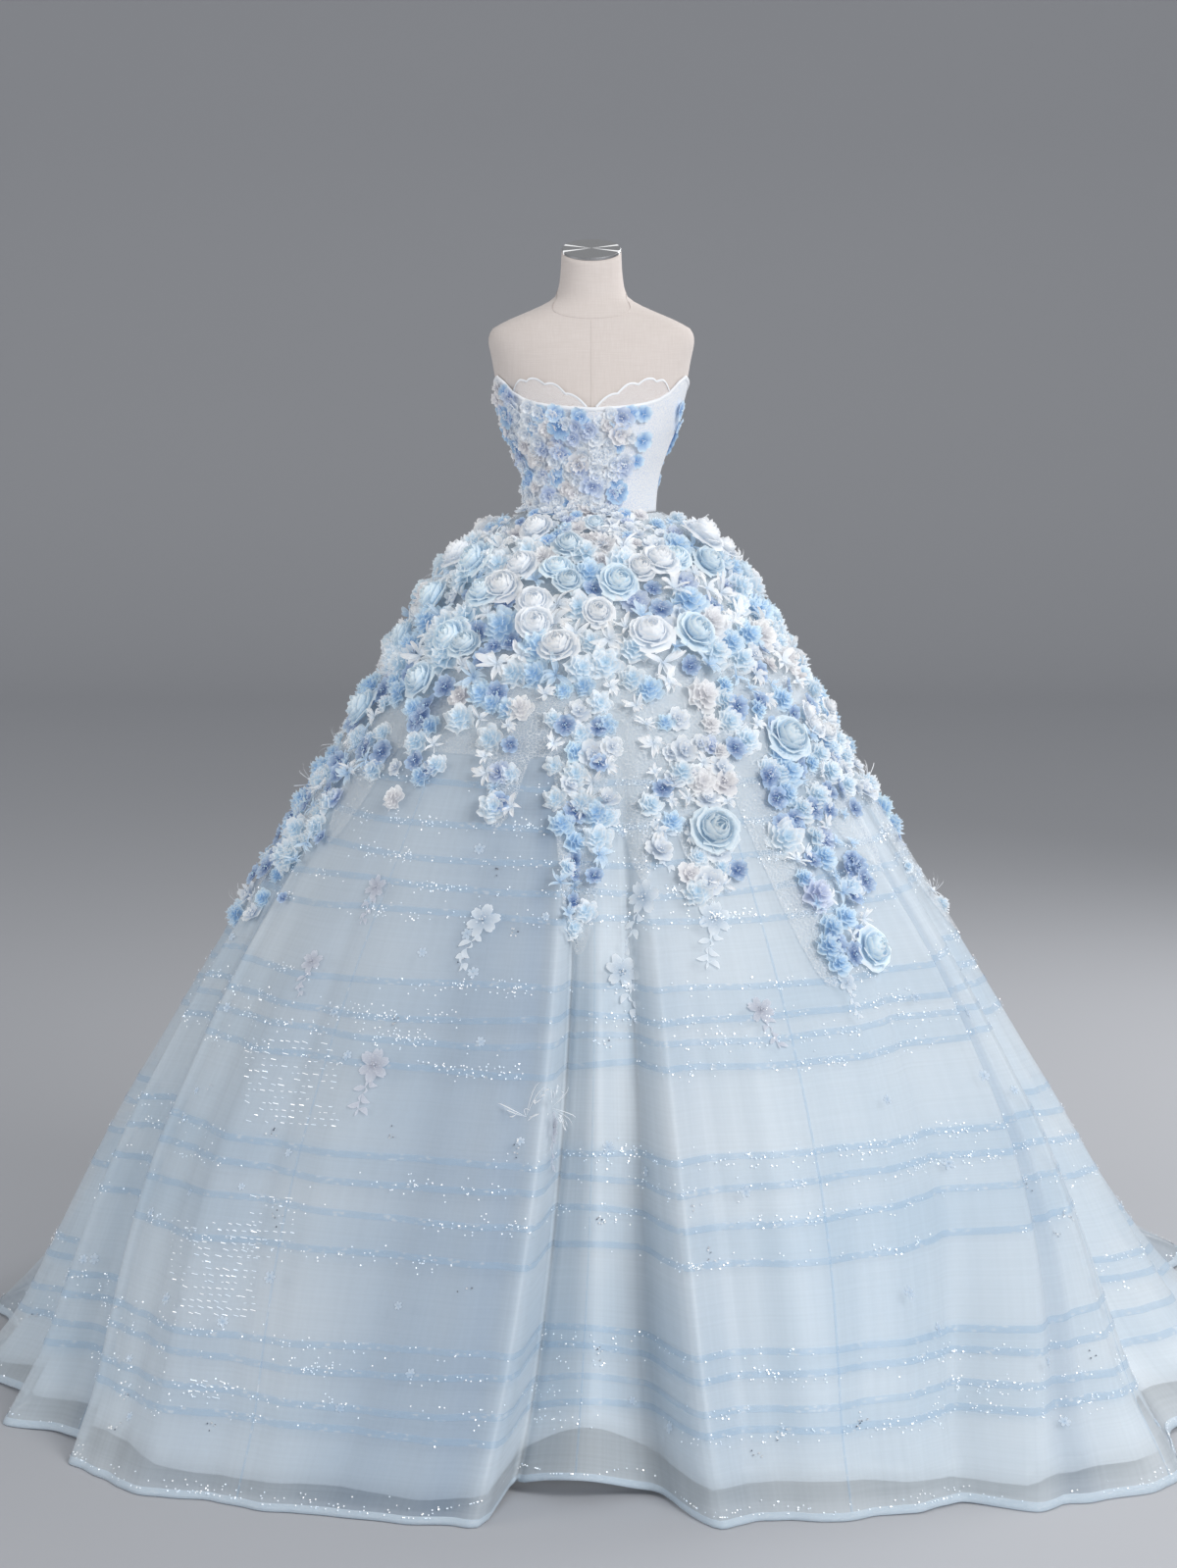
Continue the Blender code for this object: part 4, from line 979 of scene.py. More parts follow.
def rose_shape(draw):
    """Full rose of organza petals, wrapped round a bud."""
    petals = []
    for number, ring in enumerate(ROSE_RINGS):
        for petal in range(ring.petals):
            loose = ring._replace(
                radius=ring.radius * draw.uniform(0.92, 1.08),
                height=ring.height * draw.uniform(0.90, 1.08),
                lip=ring.lip * draw.uniform(0.6, 1.4),
            )
            shape = rose_petal(loose, ring.inward * draw.uniform(0.8, 1.2), draw)
            angle = 2 * math.pi * (petal + 0.45 * number) / ring.petals + draw.uniform(-0.14, 0.14)
            shape = shape._replace(depth_share=shape.depth_share * draw.uniform(0.90, 1.05))
            petals.append(turned(shape, angle))
    return joined(petals)


def open_petal(length, width, rise, cup, notch, draw):
    """One open petal: broad near its tip, cupped across, notched at the tip."""
    out, side = petal_shares(4, 5)
    half = width * (0.16 + 0.84 * np.sin(math.pi * (0.10 + 0.62 * out)) ** 0.9) * (1.0 - 0.22 * out**6)
    along = length * (0.06 + 0.94 * out) * (1.0 - 0.13 * out * side**2)
    along = along - notch * out**4 * np.exp(-((side / 0.35) ** 2))
    tall = rise * out**1.4 + cup * side**2 * np.sin(math.pi * 0.5 * out)
    tall += 0.05 * out * np.sin(5.0 * side + draw.uniform(0.0, 6.0)) - 0.10 * np.clip(out - 0.7, 0.0, 1.0)
    return grid_shape(half * side, along, tall, 1.05 * out**1.1)


def bead_shape(radius, place, share):
    """Small eight-sided bead."""
    corners = np.array(((1, 0, 0), (0, 1, 0), (-1, 0, 0), (0, -1, 0), (0, 0, 1), (0, 0, -1)), float)
    faces = [(0, 1, 4), (1, 2, 4), (2, 3, 4), (3, 0, 4), (1, 0, 5), (2, 1, 5), (3, 2, 5), (0, 3, 5)]
    return Shape(corners * radius + np.asarray(place), faces, np.full(6, share))


def blossom_shape(draw, petals=5, layers=1, rise=0.20, width=0.475):
    """Open blossom of separate petals with a beaded middle."""
    parts = []
    for layer in range(layers):
        length = 1.0 - 0.40 * layer
        for petal in range(petals):
            shape = open_petal(
                length * draw.uniform(0.90, 1.08),
                length * width * draw.uniform(0.90, 1.10),
                (rise + 0.22 * layer) * draw.uniform(0.2, 1.6),
                draw.uniform(-0.04, 0.16),
                draw.uniform(0.05, 0.18),
                draw,
            )
            shape.points[:, 2] += 0.06 * layer + 0.03 * (petal % 2)
            angle = 2 * math.pi * (petal + 0.5 * layer) / petals + draw.uniform(-0.14, 0.14)
            parts.append(turned(shape, angle))
    for bead in range(6):
        angle = 2 * math.pi * bead / 6 + draw.uniform(-0.2, 0.2)
        far = draw.uniform(0.12, 0.22)
        place = (far * math.cos(angle), far * math.sin(angle), 0.12 + 0.10 * layers)
        parts.append(bead_shape(0.050, place, 1.5 if bead % 2 else -0.2))
    parts.append(bead_shape(0.07, (0.0, 0.0, 0.16 + 0.10 * layers), 1.5))
    return joined(parts)


def spray_shape(draw, petals=8):
    """Loose curled petals and feathers that stand out between the blossoms."""
    parts = []
    out, side = petal_shares(5, 3)
    for number in range(petals):
        length = draw.uniform(0.6, 1.15)
        half = draw.uniform(0.06, 0.22) * np.sin(math.pi * (0.06 + 0.86 * out))
        curl, sway = draw.uniform(0.2, 0.9), draw.uniform(-0.5, 0.5)
        along = length * out * (1.0 - 0.25 * curl * out)
        across = half * side + sway * out**2
        tall = 0.10 + draw.uniform(0.2, 0.7) * out - curl * 0.5 * out**3 + 0.10 * side**2
        angle = 2 * math.pi * number / petals + draw.uniform(-0.5, 0.5)
        parts.append(turned(grid_shape(across, along, tall, 0.4 + 0.8 * out), angle))
    return joined(parts)


def ruffle_shape(draw, layers=4):
    """Gathered ruffles of organza, one over the other."""
    parts = []
    out, side = petal_shares(4, 41, 0.10)
    turn = math.pi * (side + 1.0)
    for layer in range(layers):
        radius = 1.0 - 0.21 * layer
        waves = 6 - layer % 2
        phase = draw.uniform(0.0, 6.0)
        edge = 1.0 + 0.13 * np.sin(waves * turn + phase + 1.0) * out
        edge = edge + 0.05 * np.sin(17 * turn + phase) * out**3
        reach = radius * out * edge
        tall = 0.04 + 0.13 * layer + 0.30 * out**1.6 * (0.35 + 0.28 * layer)
        tall = tall + 0.22 * radius * out**1.5 * np.sin(waves * turn + phase)
        tall += 0.06 * out**2 * np.sin((2 * waves + 1) * turn + 2 * phase)
        shares = 0.10 + 0.55 * out + 0.55 * out**6
        parts.append(grid_shape(reach * np.cos(turn), reach * np.sin(turn), tall, shares))
    return joined(parts)


def leaf_shape(start, end, half, lift, draw):
    """Narrow pointed leaf from one place to another, a little arched."""
    out, side = petal_shares(6, 3)
    start, end = np.asarray(start, float), np.asarray(end, float)
    ahead = (end - start) / np.linalg.norm(end - start)
    width = half * np.sin(math.pi * (0.04 + 0.92 * out)) * side
    width = width + draw.uniform(-0.12, 0.12) * np.sin(math.pi * out)
    x = start[0] + (end - start)[0] * out - ahead[1] * width
    y = start[1] + (end - start)[1] * out + ahead[0] * width
    return grid_shape(x, y, lift * np.sin(math.pi * 0.6 * out) + 0.02, 0.5 + 0.6 * out)


def motif_shape(draw):
    """Flat appliqued flower with leaves that trail below it."""
    flower = blossom_shape(draw, 6, 1, 0.08, 0.30)
    parts = [flower._replace(points=flower.points * 0.62 + np.array((0.0, 0.45, 0.0)))]
    spot = np.array((0.0, -0.05))
    for number in range(5):
        side = -1 if number % 2 else 1
        following = spot + np.array((draw.uniform(-0.08, 0.08), -0.26))
        parts.append(leaf_shape(spot, following, 0.045, 0.03, draw))
        tip = spot + np.array((side * draw.uniform(0.26, 0.40), draw.uniform(-0.30, -0.12)))
        parts.append(leaf_shape(spot, tip, 0.10, 0.05, draw))
        spot = following
    parts.append(bead_shape(0.05, (0.0, 0.45, 0.10), -0.6))
    return joined(parts)


def sprig_shape(draw):
    """Feathery sprig: thin stems with narrow barbs that stand away from the cloth."""
    parts = []
    for _ in range(5):
        angle = draw.uniform(0.0, 2 * math.pi)
        reach = draw.uniform(0.7, 1.2)
        end = (reach * math.cos(angle), reach * math.sin(angle))
        parts.append(leaf_shape((0.0, 0.0), end, 0.022, draw.uniform(0.4, 1.0), draw))
        for barb in (0.45, 0.65, 0.85):
            spot = np.array(end) * barb
            turn = angle + draw.choice((-0.7, 0.7))
            tip = spot + 0.30 * np.array((math.cos(turn), math.sin(turn)))
            leaf = leaf_shape(spot, tip, 0.05, 0.05, draw)
            leaf.points[:, 2] += 0.35 * barb
            parts.append(leaf)
    return joined(parts)


Look = namedtuple("Look", "shape core edge piece gap")
# Each bloom runs from its core colour deep inside to its edge colour at the petal tips: partly the blossoms'
# own colour, partly painted shade deep between the petals, most in the roses
LOOKS = {
    "white_rose": Look("rose", "#A9C0D6", "#FFFFFF", "roses_white", 0.011),
    "ice_rose": Look("rose", "#8DB6D3", "#EDF7FC", "roses_ice_blue", 0.009),
    "pale_ruffle": Look("ruffle", "#B3D3E8", "#F6FBFE", "ruffles_pale_blue", 0.003),
    "sky_ruffle": Look("ruffle", "#8EBCE2", "#DFF0FB", "ruffles_sky_blue", 0.003),
    "cream_ruffle": Look("ruffle", "#CBCDD4", "#FDFBFA", "ruffles_cream", 0.003),
    "lilac_ruffle": Look("ruffle", "#A4B2D4", "#DFE5F2", "ruffles_lilac", 0.003),
    "dusty_blossom": Look("blossom", "#466CA6", "#C3D9F0", "blossoms_dusty_blue", 0.008),
    "deep_blossom": Look("blossom", "#4F86C0", "#BFDDF4", "blossoms_bodice_blue", 0.004),
    "sky_blossom": Look("blossom", "#6FA6DA", "#DDEFFB", "blossoms_sky_blue", 0.003),
    "lilac_blossom": Look("double", "#8FA6CE", "#DFE8F4", "blossoms_lilac", 0.004),
    "cream_blossom": Look("double", "#BFC0C9", "#FAF8F7", "blossoms_cream", 0.004),
    "white_blossom": Look("double", "#B5C4D6", "#FAFCFD", "blossoms_white", 0.004),
    "white_spray": Look("spray", "#C4D8EA", "#FFFFFF", "sprays_white", 0.006),
    "blue_spray": Look("spray", "#8FB9DE", "#DCECF8", "sprays_blue", 0.006),
    "lace_white": Look("motif", "#BFCFDE", "#F2F7FB", "lace_motifs_white", 0.0018),
    "lace_nude": Look("motif", "#C0C4D0", "#D9DCE5", "lace_motifs_nude", 0.0018),
    "faint_flower": Look("flat", "#C9D9E8", "#DCE7F1", "sequin_flowers", 0.0012),
    "sprig": Look("sprig", "#E4EDF5", "#FFFFFF", "feather_sprigs", 0.004),
}
SHAPE_VARIANTS = 5


@functools.lru_cache(maxsize=None)
def shape_variants(kind):
    """A few drawn variants of a blossom shape."""
    draw = random.Random(f"{kind} shapes")
    makers = {
        "rose": lambda: rose_shape(draw),
        "ruffle": lambda: ruffle_shape(draw),
        "blossom": lambda: blossom_shape(draw),
        "double": lambda: blossom_shape(draw, layers=2, rise=0.22),
        "spray": lambda: spray_shape(draw),
        "motif": lambda: motif_shape(draw),
        "flat": lambda: blossom_shape(draw, 6, 1, 0.05, 0.28),
        "sprig": lambda: sprig_shape(draw),
    }
    return [makers[kind]() for _ in range(SHAPE_VARIANTS)]


class Bunch:
    """Blossoms that are gathered into one joined mesh for each piece."""

    def __init__(self):
        self.pieces = {}

    def add(self, look, seat, size, draw, lean=0.18, flatten=1.0, upright=False):
        """Sets one blossom on a seat, leant at random and turned at random unless it is upright."""
        shape = draw.choice(shape_variants(look.shape))
        up = seat.normal + random_vector(draw, lean)
        spin = draw.uniform(-0.3, 0.3) if upright else draw.uniform(0.0, 2 * math.pi)
        turn = up.to_track_quat("Z", "Y").to_matrix() @ Matrix.Rotation(spin, 3, "Z")
        radius = size / 2
        local = shape.points * np.array((radius, radius, radius * flatten))
        place = seat.point + seat.normal * look.gap
        points = local @ np.array(turn).T + np.array(place)
        core = np.array(linear(look.core))
        edge = np.array(linear(look.edge)) * draw.uniform(0.90, 1.04)
        share = shape.depth_share[:, None]
        tint = np.clip(core + (edge - core) * share, 0.0, 1.0)
        tint[:, 3] = 1.0
        self.pieces.setdefault(look.piece, []).append(Shape(points, shape.faces, tint))

    def build(self, material_for, suffix=""):
        """Makes one mesh for each piece and returns them in a list."""
        built = []
        for name, shapes in self.pieces.items():
            whole = joined(shapes)
            material, tint = material_for(name), whole.depth_share
            built.append(add_mesh(name + suffix, whole.points, whole.faces, material, tint=tint))
        return built


@functools.lru_cache(maxsize=None)
def petals_material(see_through):
    """Petal material, made once for close petals and once for sheer ones."""
    if see_through:
        return petal_material("cut_sheer_organza_petals", 0.86, 0.5)
    return petal_material("cut_organza_petals", 1.0, 0.6)


def mantle_low(bearing):
    """Height of the mantle's lower edge: a plain edge with trails that hang from it."""
    drop = MANTLE_HEM_DROP
    for trail in TRAILS:
        turn = turn_between(bearing, trail.bearing)
        if abs(turn) < trail.half_width:
            depth = (MANTLE_EDGE_HEIGHT - trail.low_height) * math.cos(math.pi / 2 * turn / trail.half_width)
            drop = max(drop, depth)
    return MANTLE_EDGE_HEIGHT - drop


# Bodice and form surfaces


def form_size(height):
    """Half width and half depth of the form at a height."""
    columns = ("half_width", "half_depth")
    return [between_rows(FORM_RINGS, "height", column, height) for column in columns]


def around_form(bearing):
    """Column bearing on the form's flat section of a place that is seen at a bearing from the pole."""
    half_width, half_depth = form_size(NECKLINE[0].height)
    turn = math.radians(bearing)
    return math.degrees(math.atan2(half_depth * math.sin(turn), half_width * math.cos(turn)))


def neckline_height(bearing):
    """Height of the bodice's top edge, which runs straight between the bodice's columns."""
    first = math.floor(bearing / BODICE_BEARING_STEP)
    share = bearing / BODICE_BEARING_STEP - first

    def at_column(column):
        side = abs(turn_between(column * BODICE_BEARING_STEP, 0.0))
        return between_rows(NECKLINE, "bearing", "height", side)

    return at_column(first) * (1.0 - share) + at_column(first + 1) * share


def form_point(bearing, height, out):
    """Point this far outside the form."""
    half_width, half_depth = form_size(height)
    angle = math.radians(bearing)
    return ((half_width + out) * math.sin(angle), -(half_depth + out) * math.cos(angle), height)


def tilted_point(bearing, height, out):
    """Point this far outside the form, whose rings lean forward at the neck."""
    x, y, z = form_point(bearing, height, out)
    tilt = math.tan(math.radians(between_rows(FORM_RINGS, "height", "tilt_deg", height)))
    return (x, y, z + tilt * y)


def form_grid(edges, rows, out):
    """Grid this far outside the form, between the top and the low height that edges give for each bearing."""
    grid = []
    for share in (row / (rows - 1) for row in range(rows)):
        grid.append([form_point(bearing, top + (low - top) * share, out) for bearing, top, low in edges])
    return np.array(grid)


def bodice_grid(bearings, rows):
    """Grid of the bodice's outer face from its top edge to the waist."""
    edges = [(bearing, neckline_height(bearing), WAIST_HEIGHT) for bearing in bearings]
    return form_grid(edges, rows, BODICE_CLEARANCE + BODICE_THICKNESS)


def lace_top(bearing):
    """Height of the lace's scalloped edge."""
    side = abs(bearing)
    rise = between_rows(LACE_EDGE, "bearing", "rise", side)
    first, last = LACE_EDGE[0].bearing, LACE_EDGE[-1].bearing
    phase = math.pi * LACE_SCALLOPS * (side - first) / (last - first)
    return neckline_height(bearing) + rise + LACE_SCALLOP_DEPTH * abs(math.sin(phase))


def strip_along(points, width, material, name):
    """Narrow flat strip along a line of points, facing out from the pole."""
    line = np.asarray(points, float)
    ahead = np.gradient(line, axis=0)
    outside = line * np.array((1.0, 1.0, 0.0))
    outside /= np.linalg.norm(outside, axis=1, keepdims=True) + 1e-9
    side = np.cross(ahead, outside)
    side /= np.linalg.norm(side, axis=1, keepdims=True) + 1e-9
    grid = np.stack((line + side * width / 2, line + outside * width * 0.25, line - side * width / 2), axis=1)
    faces = grid_faces(len(line), 3, False).tolist()
    return add_mesh(name, grid, faces, material)


def gown_settings(context):
    """The scene's colours and sizes of the gown."""
    return context.scene.gown_colours, context.scene.gown_sizes


# Operators


class GOWN_OT_form(bpy.types.Operator):
    """Covers the dress form with linen and finishes its steel cap, pole and base"""

    bl_idname = "gown.add_form"
    bl_label = "Dress form"

    def execute(self, context):
        colours, _ = gown_settings(context)
        linen = linen_material(colours)
        low, high = FORM_RINGS[0].height, FORM_RINGS[-1].height
        count = round((high - low) / FORM_STEP)
        heights = [low + (high - low) * row / count for row in range(count + 1)]
        bearings = even_bearings(FORM_COLUMNS)
        grid = np.array([[tilted_point(bearing, height, 0.0) for bearing in bearings] for height in heights])
        rows, columns = grid.shape[:2]
        faces = grid_faces(rows, columns, True).tolist()
        faces.append(tuple(reversed(range(columns))))
        faces.append(tuple(range((rows - 1) * columns, rows * columns)))
        torso = add_mesh("form_torso_linen", grid, faces, linen)
        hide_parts("form_torso")
        self.add_seams(linen)
        middle = (0.0, 0.0, FORM_RINGS[-1].height)
        for node, material in (
            ("form_neck_cap", steel_material("ring_brushed_steel_cap", middle)),
            ("form_pole", steel_material("brushed_steel_tube")),
            ("form_base", enamel_material()),
        ):
            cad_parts[node].data.materials.clear()
            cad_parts[node].data.materials.append(material)
        return {"FINISHED"}

    def add_seams(self, linen):
        """Raised seams down the middle of the front and back and round the neck."""
        for name, bearing in (("front", 0.0), ("back", 180.0)):
            low = neckline_height(bearing) - 0.02
            heights = np.linspace(low, self.neck_seam(bearing) - 0.004, 60)
            points = [tilted_point(bearing, height, 0.0004) for height in heights]
            strip_along(points, FORM_SEAM_WIDTH, linen, f"form_seam_{name}")
        bearings = np.linspace(-180.0, 180.0, 97)
        points = [tilted_point(bearing, self.neck_seam(bearing), 0.0005) for bearing in bearings]
        strip_along(points, NECK_SEAM_WIDTH, linen, "form_seam_neck")

    def neck_seam(self, bearing):
        """Height of the seam round the neck, which dips in front."""
        ahead = math.cos(math.radians(bearing))
        return NECK_SEAM_HEIGHT - NECK_SEAM_DIP * max(0.0, ahead) ** 1.5 + 0.010 * max(0.0, -ahead)


class GOWN_OT_lining(bpy.types.Operator):
    """Adds the satin underskirt"""

    bl_idname = "gown.add_lining"
    bl_label = "Satin lining"

    def execute(self, context):
        colours, _ = gown_settings(context)
        bearings = even_bearings(LINING_COLUMNS)
        heights = np.linspace(WAIST_HEIGHT - 0.002, LINING_HEM_HEIGHT, LINING_ROWS)
        share = np.minimum(1.0, (1.0 - heights / WAIST_HEIGHT) * 4)
        inset = (LINING_GAP_WAIST + (LINING_GAP_HEM - LINING_GAP_WAIST) * share)[:, None]
        turn = np.radians(np.asarray(bearings))
        wave = 0.008 * np.sin(6 * turn + 0.6) + 0.005 * np.sin(17 * turn + 2.0)
        wave += 0.024 * np.exp(-((np.asarray(bearings) / 8.0) ** 2))
        levels = heights[:, None] + wave[None, :] * np.linspace(0.0, 1.0, LINING_ROWS)[:, None] ** 6
        grid = skirt_grid(bearings, levels, inset)
        uv = cloth_uv(bearings, heights, LINING_FLAT[0])
        satin = satin_material(colours)
        lining = add_grid("skirt_lining_satin", grid, True, satin, uv, None, LINING_THICKNESS)
        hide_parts(*gores("skirt_lining"))
        return {"FINISHED"}


class GOWN_OT_overskirt(bpy.types.Operator):
    """Adds the sheer organza overskirt with its ribbon bands, bound hem and seams"""

    bl_idname = "gown.add_overskirt"
    bl_label = "Organza overskirt"

    def execute(self, context):
        colours, sizes = gown_settings(context)
        bearings = even_bearings(OVERSKIRT_COLUMNS)
        heights = [WAIST_HEIGHT * (1.0 - row / (OVERSKIRT_ROWS - 1)) for row in range(OVERSKIRT_ROWS)]
        grid = skirt_grid(bearings, heights)
        tuck_and_painted_shade = np.zeros((OVERSKIRT_ROWS, OVERSKIRT_COLUMNS, 4))
        tuck_and_painted_shade[..., 3] = 1.0
        levels = np.array(heights)
        for low, high in TUCKS:
            inside = (levels > low - TUCK_MARGIN) & (levels < high + TUCK_MARGIN)
            tuck_and_painted_shade[inside, :, 0] = TUCK_SHADE
        # Painted shade of the inward folds goes into the tint's second channel, fading out towards the waist
        fade = np.clip((PAINTED_SHADE_TOP - levels) / PAINTED_SHADE_FADE, 0.0, 1.0)[:, None]
        for shade_band in PAINTED_FOLD_SHADES:
            away = turn_between(np.asarray(bearings), shade_band.bearing)
            tuck_and_painted_shade[..., 1] += fade * shade_band.strength * np.exp(-((away / shade_band.half_width) ** 2))[None, :]
        tuck_and_painted_shade[..., 1] = np.minimum(tuck_and_painted_shade[..., 1], 1.0)
        uv = cloth_uv(bearings, heights, OVERSKIRT_FLAT[0])
        overskirt = add_grid("overskirt_organza", grid, True, organza_material(colours), uv, tuck_and_painted_shade)
        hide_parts(*gores("overskirt"))
        band = ribbon_material("woven_nylon_glitter_ribbon", colours.ribbon, 0.24)
        bound = ribbon_material("folded_nylon_glitter_ribbon", linear("#D0E1EF"), 0.66)
        trims = [
            self.add_ribbons(bearings, sizes.ribbon_width, band),
            self.add_hem(bearings, bound),
            self.add_seams(band),
        ]
        return {"FINISHED"}

    def add_ribbons(self, bearings, width, material):
        """Narrow bands all the way round, each a little uneven in height."""
        grids = []
        turn = np.radians(np.asarray(bearings))
        for number, height in enumerate(RIBBON_HEIGHTS):
            wave = BAND_WAVE * np.sin(5 * turn + 0.8 * number)
            wander = wave + BAND_RIPPLE * np.sin(11 * turn + 1.6 * number)
            rows = np.stack([height + wander + part * width for part in (0.5, 0.0, -0.5)])
            grids.append(skirt_grid(bearings, rows, gap=TRIM_GAP))
        points, faces = join_grids(grids)
        return add_mesh("ribbon_bands", points, faces[:, ::-1].tolist(), material)

    def add_hem(self, bearings, material):
        """Bound hem: a ribbon folded over the organza's edge."""
        half = HEM_BINDING_DEPTH * 0.5
        outside = skirt_grid(bearings, (HEM_BINDING_DEPTH, half, 0.0), gap=TRIM_GAP)
        inside = skirt_grid(bearings, (0.0, half, HEM_BINDING_DEPTH), gap=-HEM_GAP)
        for edge in (outside[2], inside[0]):
            edge[:, 2] = np.maximum(edge[:, 2], FLOOR_CLEAR)
        grid = np.concatenate((outside, inside))
        binding = add_grid("hem_binding_ribbon", grid, True, material)
        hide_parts(*gores("hem_binding"))
        return binding

    def add_seams(self, material):
        """French seams between the gores: narrow raised lines from the blossoms to the hem."""
        grids = []
        heights = np.linspace(SEAM_TOP, SEAM_FOOT, SEAM_ROWS)
        for middle in (row.bearing for row in HEM if row.seam):
            grid = skirt_grid((middle - SEAM_SPREAD, middle, middle + SEAM_SPREAD), heights)
            outwards = grid * np.array((1.0, 1.0, 0.0))
            outwards /= np.linalg.norm(outwards, axis=-1, keepdims=True)
            grids.append(grid + outwards * HEM_GAP)
        points, faces = join_grids(grids, False)
        return add_mesh("overskirt_seams", points, faces[:, ::-1].tolist(), material)


class GOWN_OT_bodice(bpy.types.Operator):
    """Adds the bodice panels, the lace cups and the neckline's binding"""

    bl_idname = "gown.add_bodice"
    bl_label = "Bodice"

    def execute(self, context):
        colours, _ = gown_settings(context)
        satin = bodice_material(colours)
        piping = piping_material()
        lace = lace_material(colours)
        for name, start, end, area, flat in (
            ("front", -90, 90, 0.083, (0.44, 0.25)),
            ("back_right", 90, 180, 0.037, (0.22, 0.25)),
            ("back_left", 180, 270, 0.037, (0.22, 0.25)),
        ):
            bearings = list(np.linspace(start, end, int((end - start) / 1.5) + 1))
            grid = bodice_grid(bearings, BODICE_ROWS)
            uv = cloth_uv(bearings, np.linspace(0.24, 0.0, BODICE_ROWS), 0.9)
            piece_name = f"bodice_{name}_panel"
            panel = add_grid(piece_name, grid, False, satin, uv, None, PANEL_THICKNESS)
            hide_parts(f"bodice_{name}")
        for name, start, end in (("front", -90, 90), ("back", 90, 270)):
            self.add_binding(name, start, end, piping)
        for name, side in (("left", -1), ("right", 1)):
            self.add_lace(name, side, lace, piping)
        return {"FINISHED"}

    def add_binding(self, name, start, end, material):
        """Rounded binding over the neckline's edge."""
        bearings = np.linspace(start, end, 181)
        grid = []
        for rise, out in BINDING_SECTION:
            edge = [(bearing, neckline_height(bearing) + rise) for bearing in bearings]
            grid.append([form_point(bearing, height, BODICE_CLEARANCE + out) for bearing, height in edge])
        piece = add_grid(f"neck_binding_{name}_piping", np.array(grid), False, material)
        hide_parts(f"neck_binding_{name}")

    def add_lace(self, name, side, lace, piping):
        """Scalloped lace above the neckline with a corded edge."""
        first, last = LACE_EDGE[0].bearing, LACE_EDGE[-1].bearing
        bearings = np.linspace(first, last, 97) * side
        if side < 0:
            bearings = bearings[::-1]
        edges = [(bearing, lace_top(bearing), neckline_height(bearing) - LACE_TUCK) for bearing in bearings]
        grid = form_grid(edges, LACE_ROWS, BODICE_CLEARANCE + LACE_OUT)
        cup = add_grid(f"lace_cup_{name}_net", grid, False, lace, thickness=LACE_THICKNESS)
        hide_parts(f"lace_cup_{name}")
        out = BODICE_CLEARANCE + LACE_OUT + LACE_THICKNESS
        edge = [form_point(bearing, top - 0.0008, out) for bearing, top, _ in edges]
        cord = strip_along(edge, LACE_CORD_WIDTH, piping, f"lace_cord_{name}")


def material_of_piece(name):
    """Ruffles and flat motifs are sheer, roses and blossoms closer."""
    return petals_material("ruffle" in name or "motif" in name or "sequin" in name)


FILLER_KINDS = (
    ("pale_ruffle", 22, 1.15),
    ("sky_ruffle", 13, 1.15),
    ("cream_ruffle", 4, 1.10),
    ("white_blossom", 9, 0.95),
    ("dusty_blossom", 18, 0.86),
    ("lilac_blossom", 6, 0.92),
    ("cream_blossom", 2, 0.95),
    ("ice_rose", 6, 1.10),
    ("white_rose", 6, 1.15),
    ("white_spray", 20, 1.30),
    ("blue_spray", 10, 1.20),
)


def pick_filler(draw):
    """Kind of a blossom between the large ones, and how large it grows."""
    kind, _, growth = draw.choices(FILLER_KINDS, [weight for _, weight, _ in FILLER_KINDS])[0]
    return kind, growth


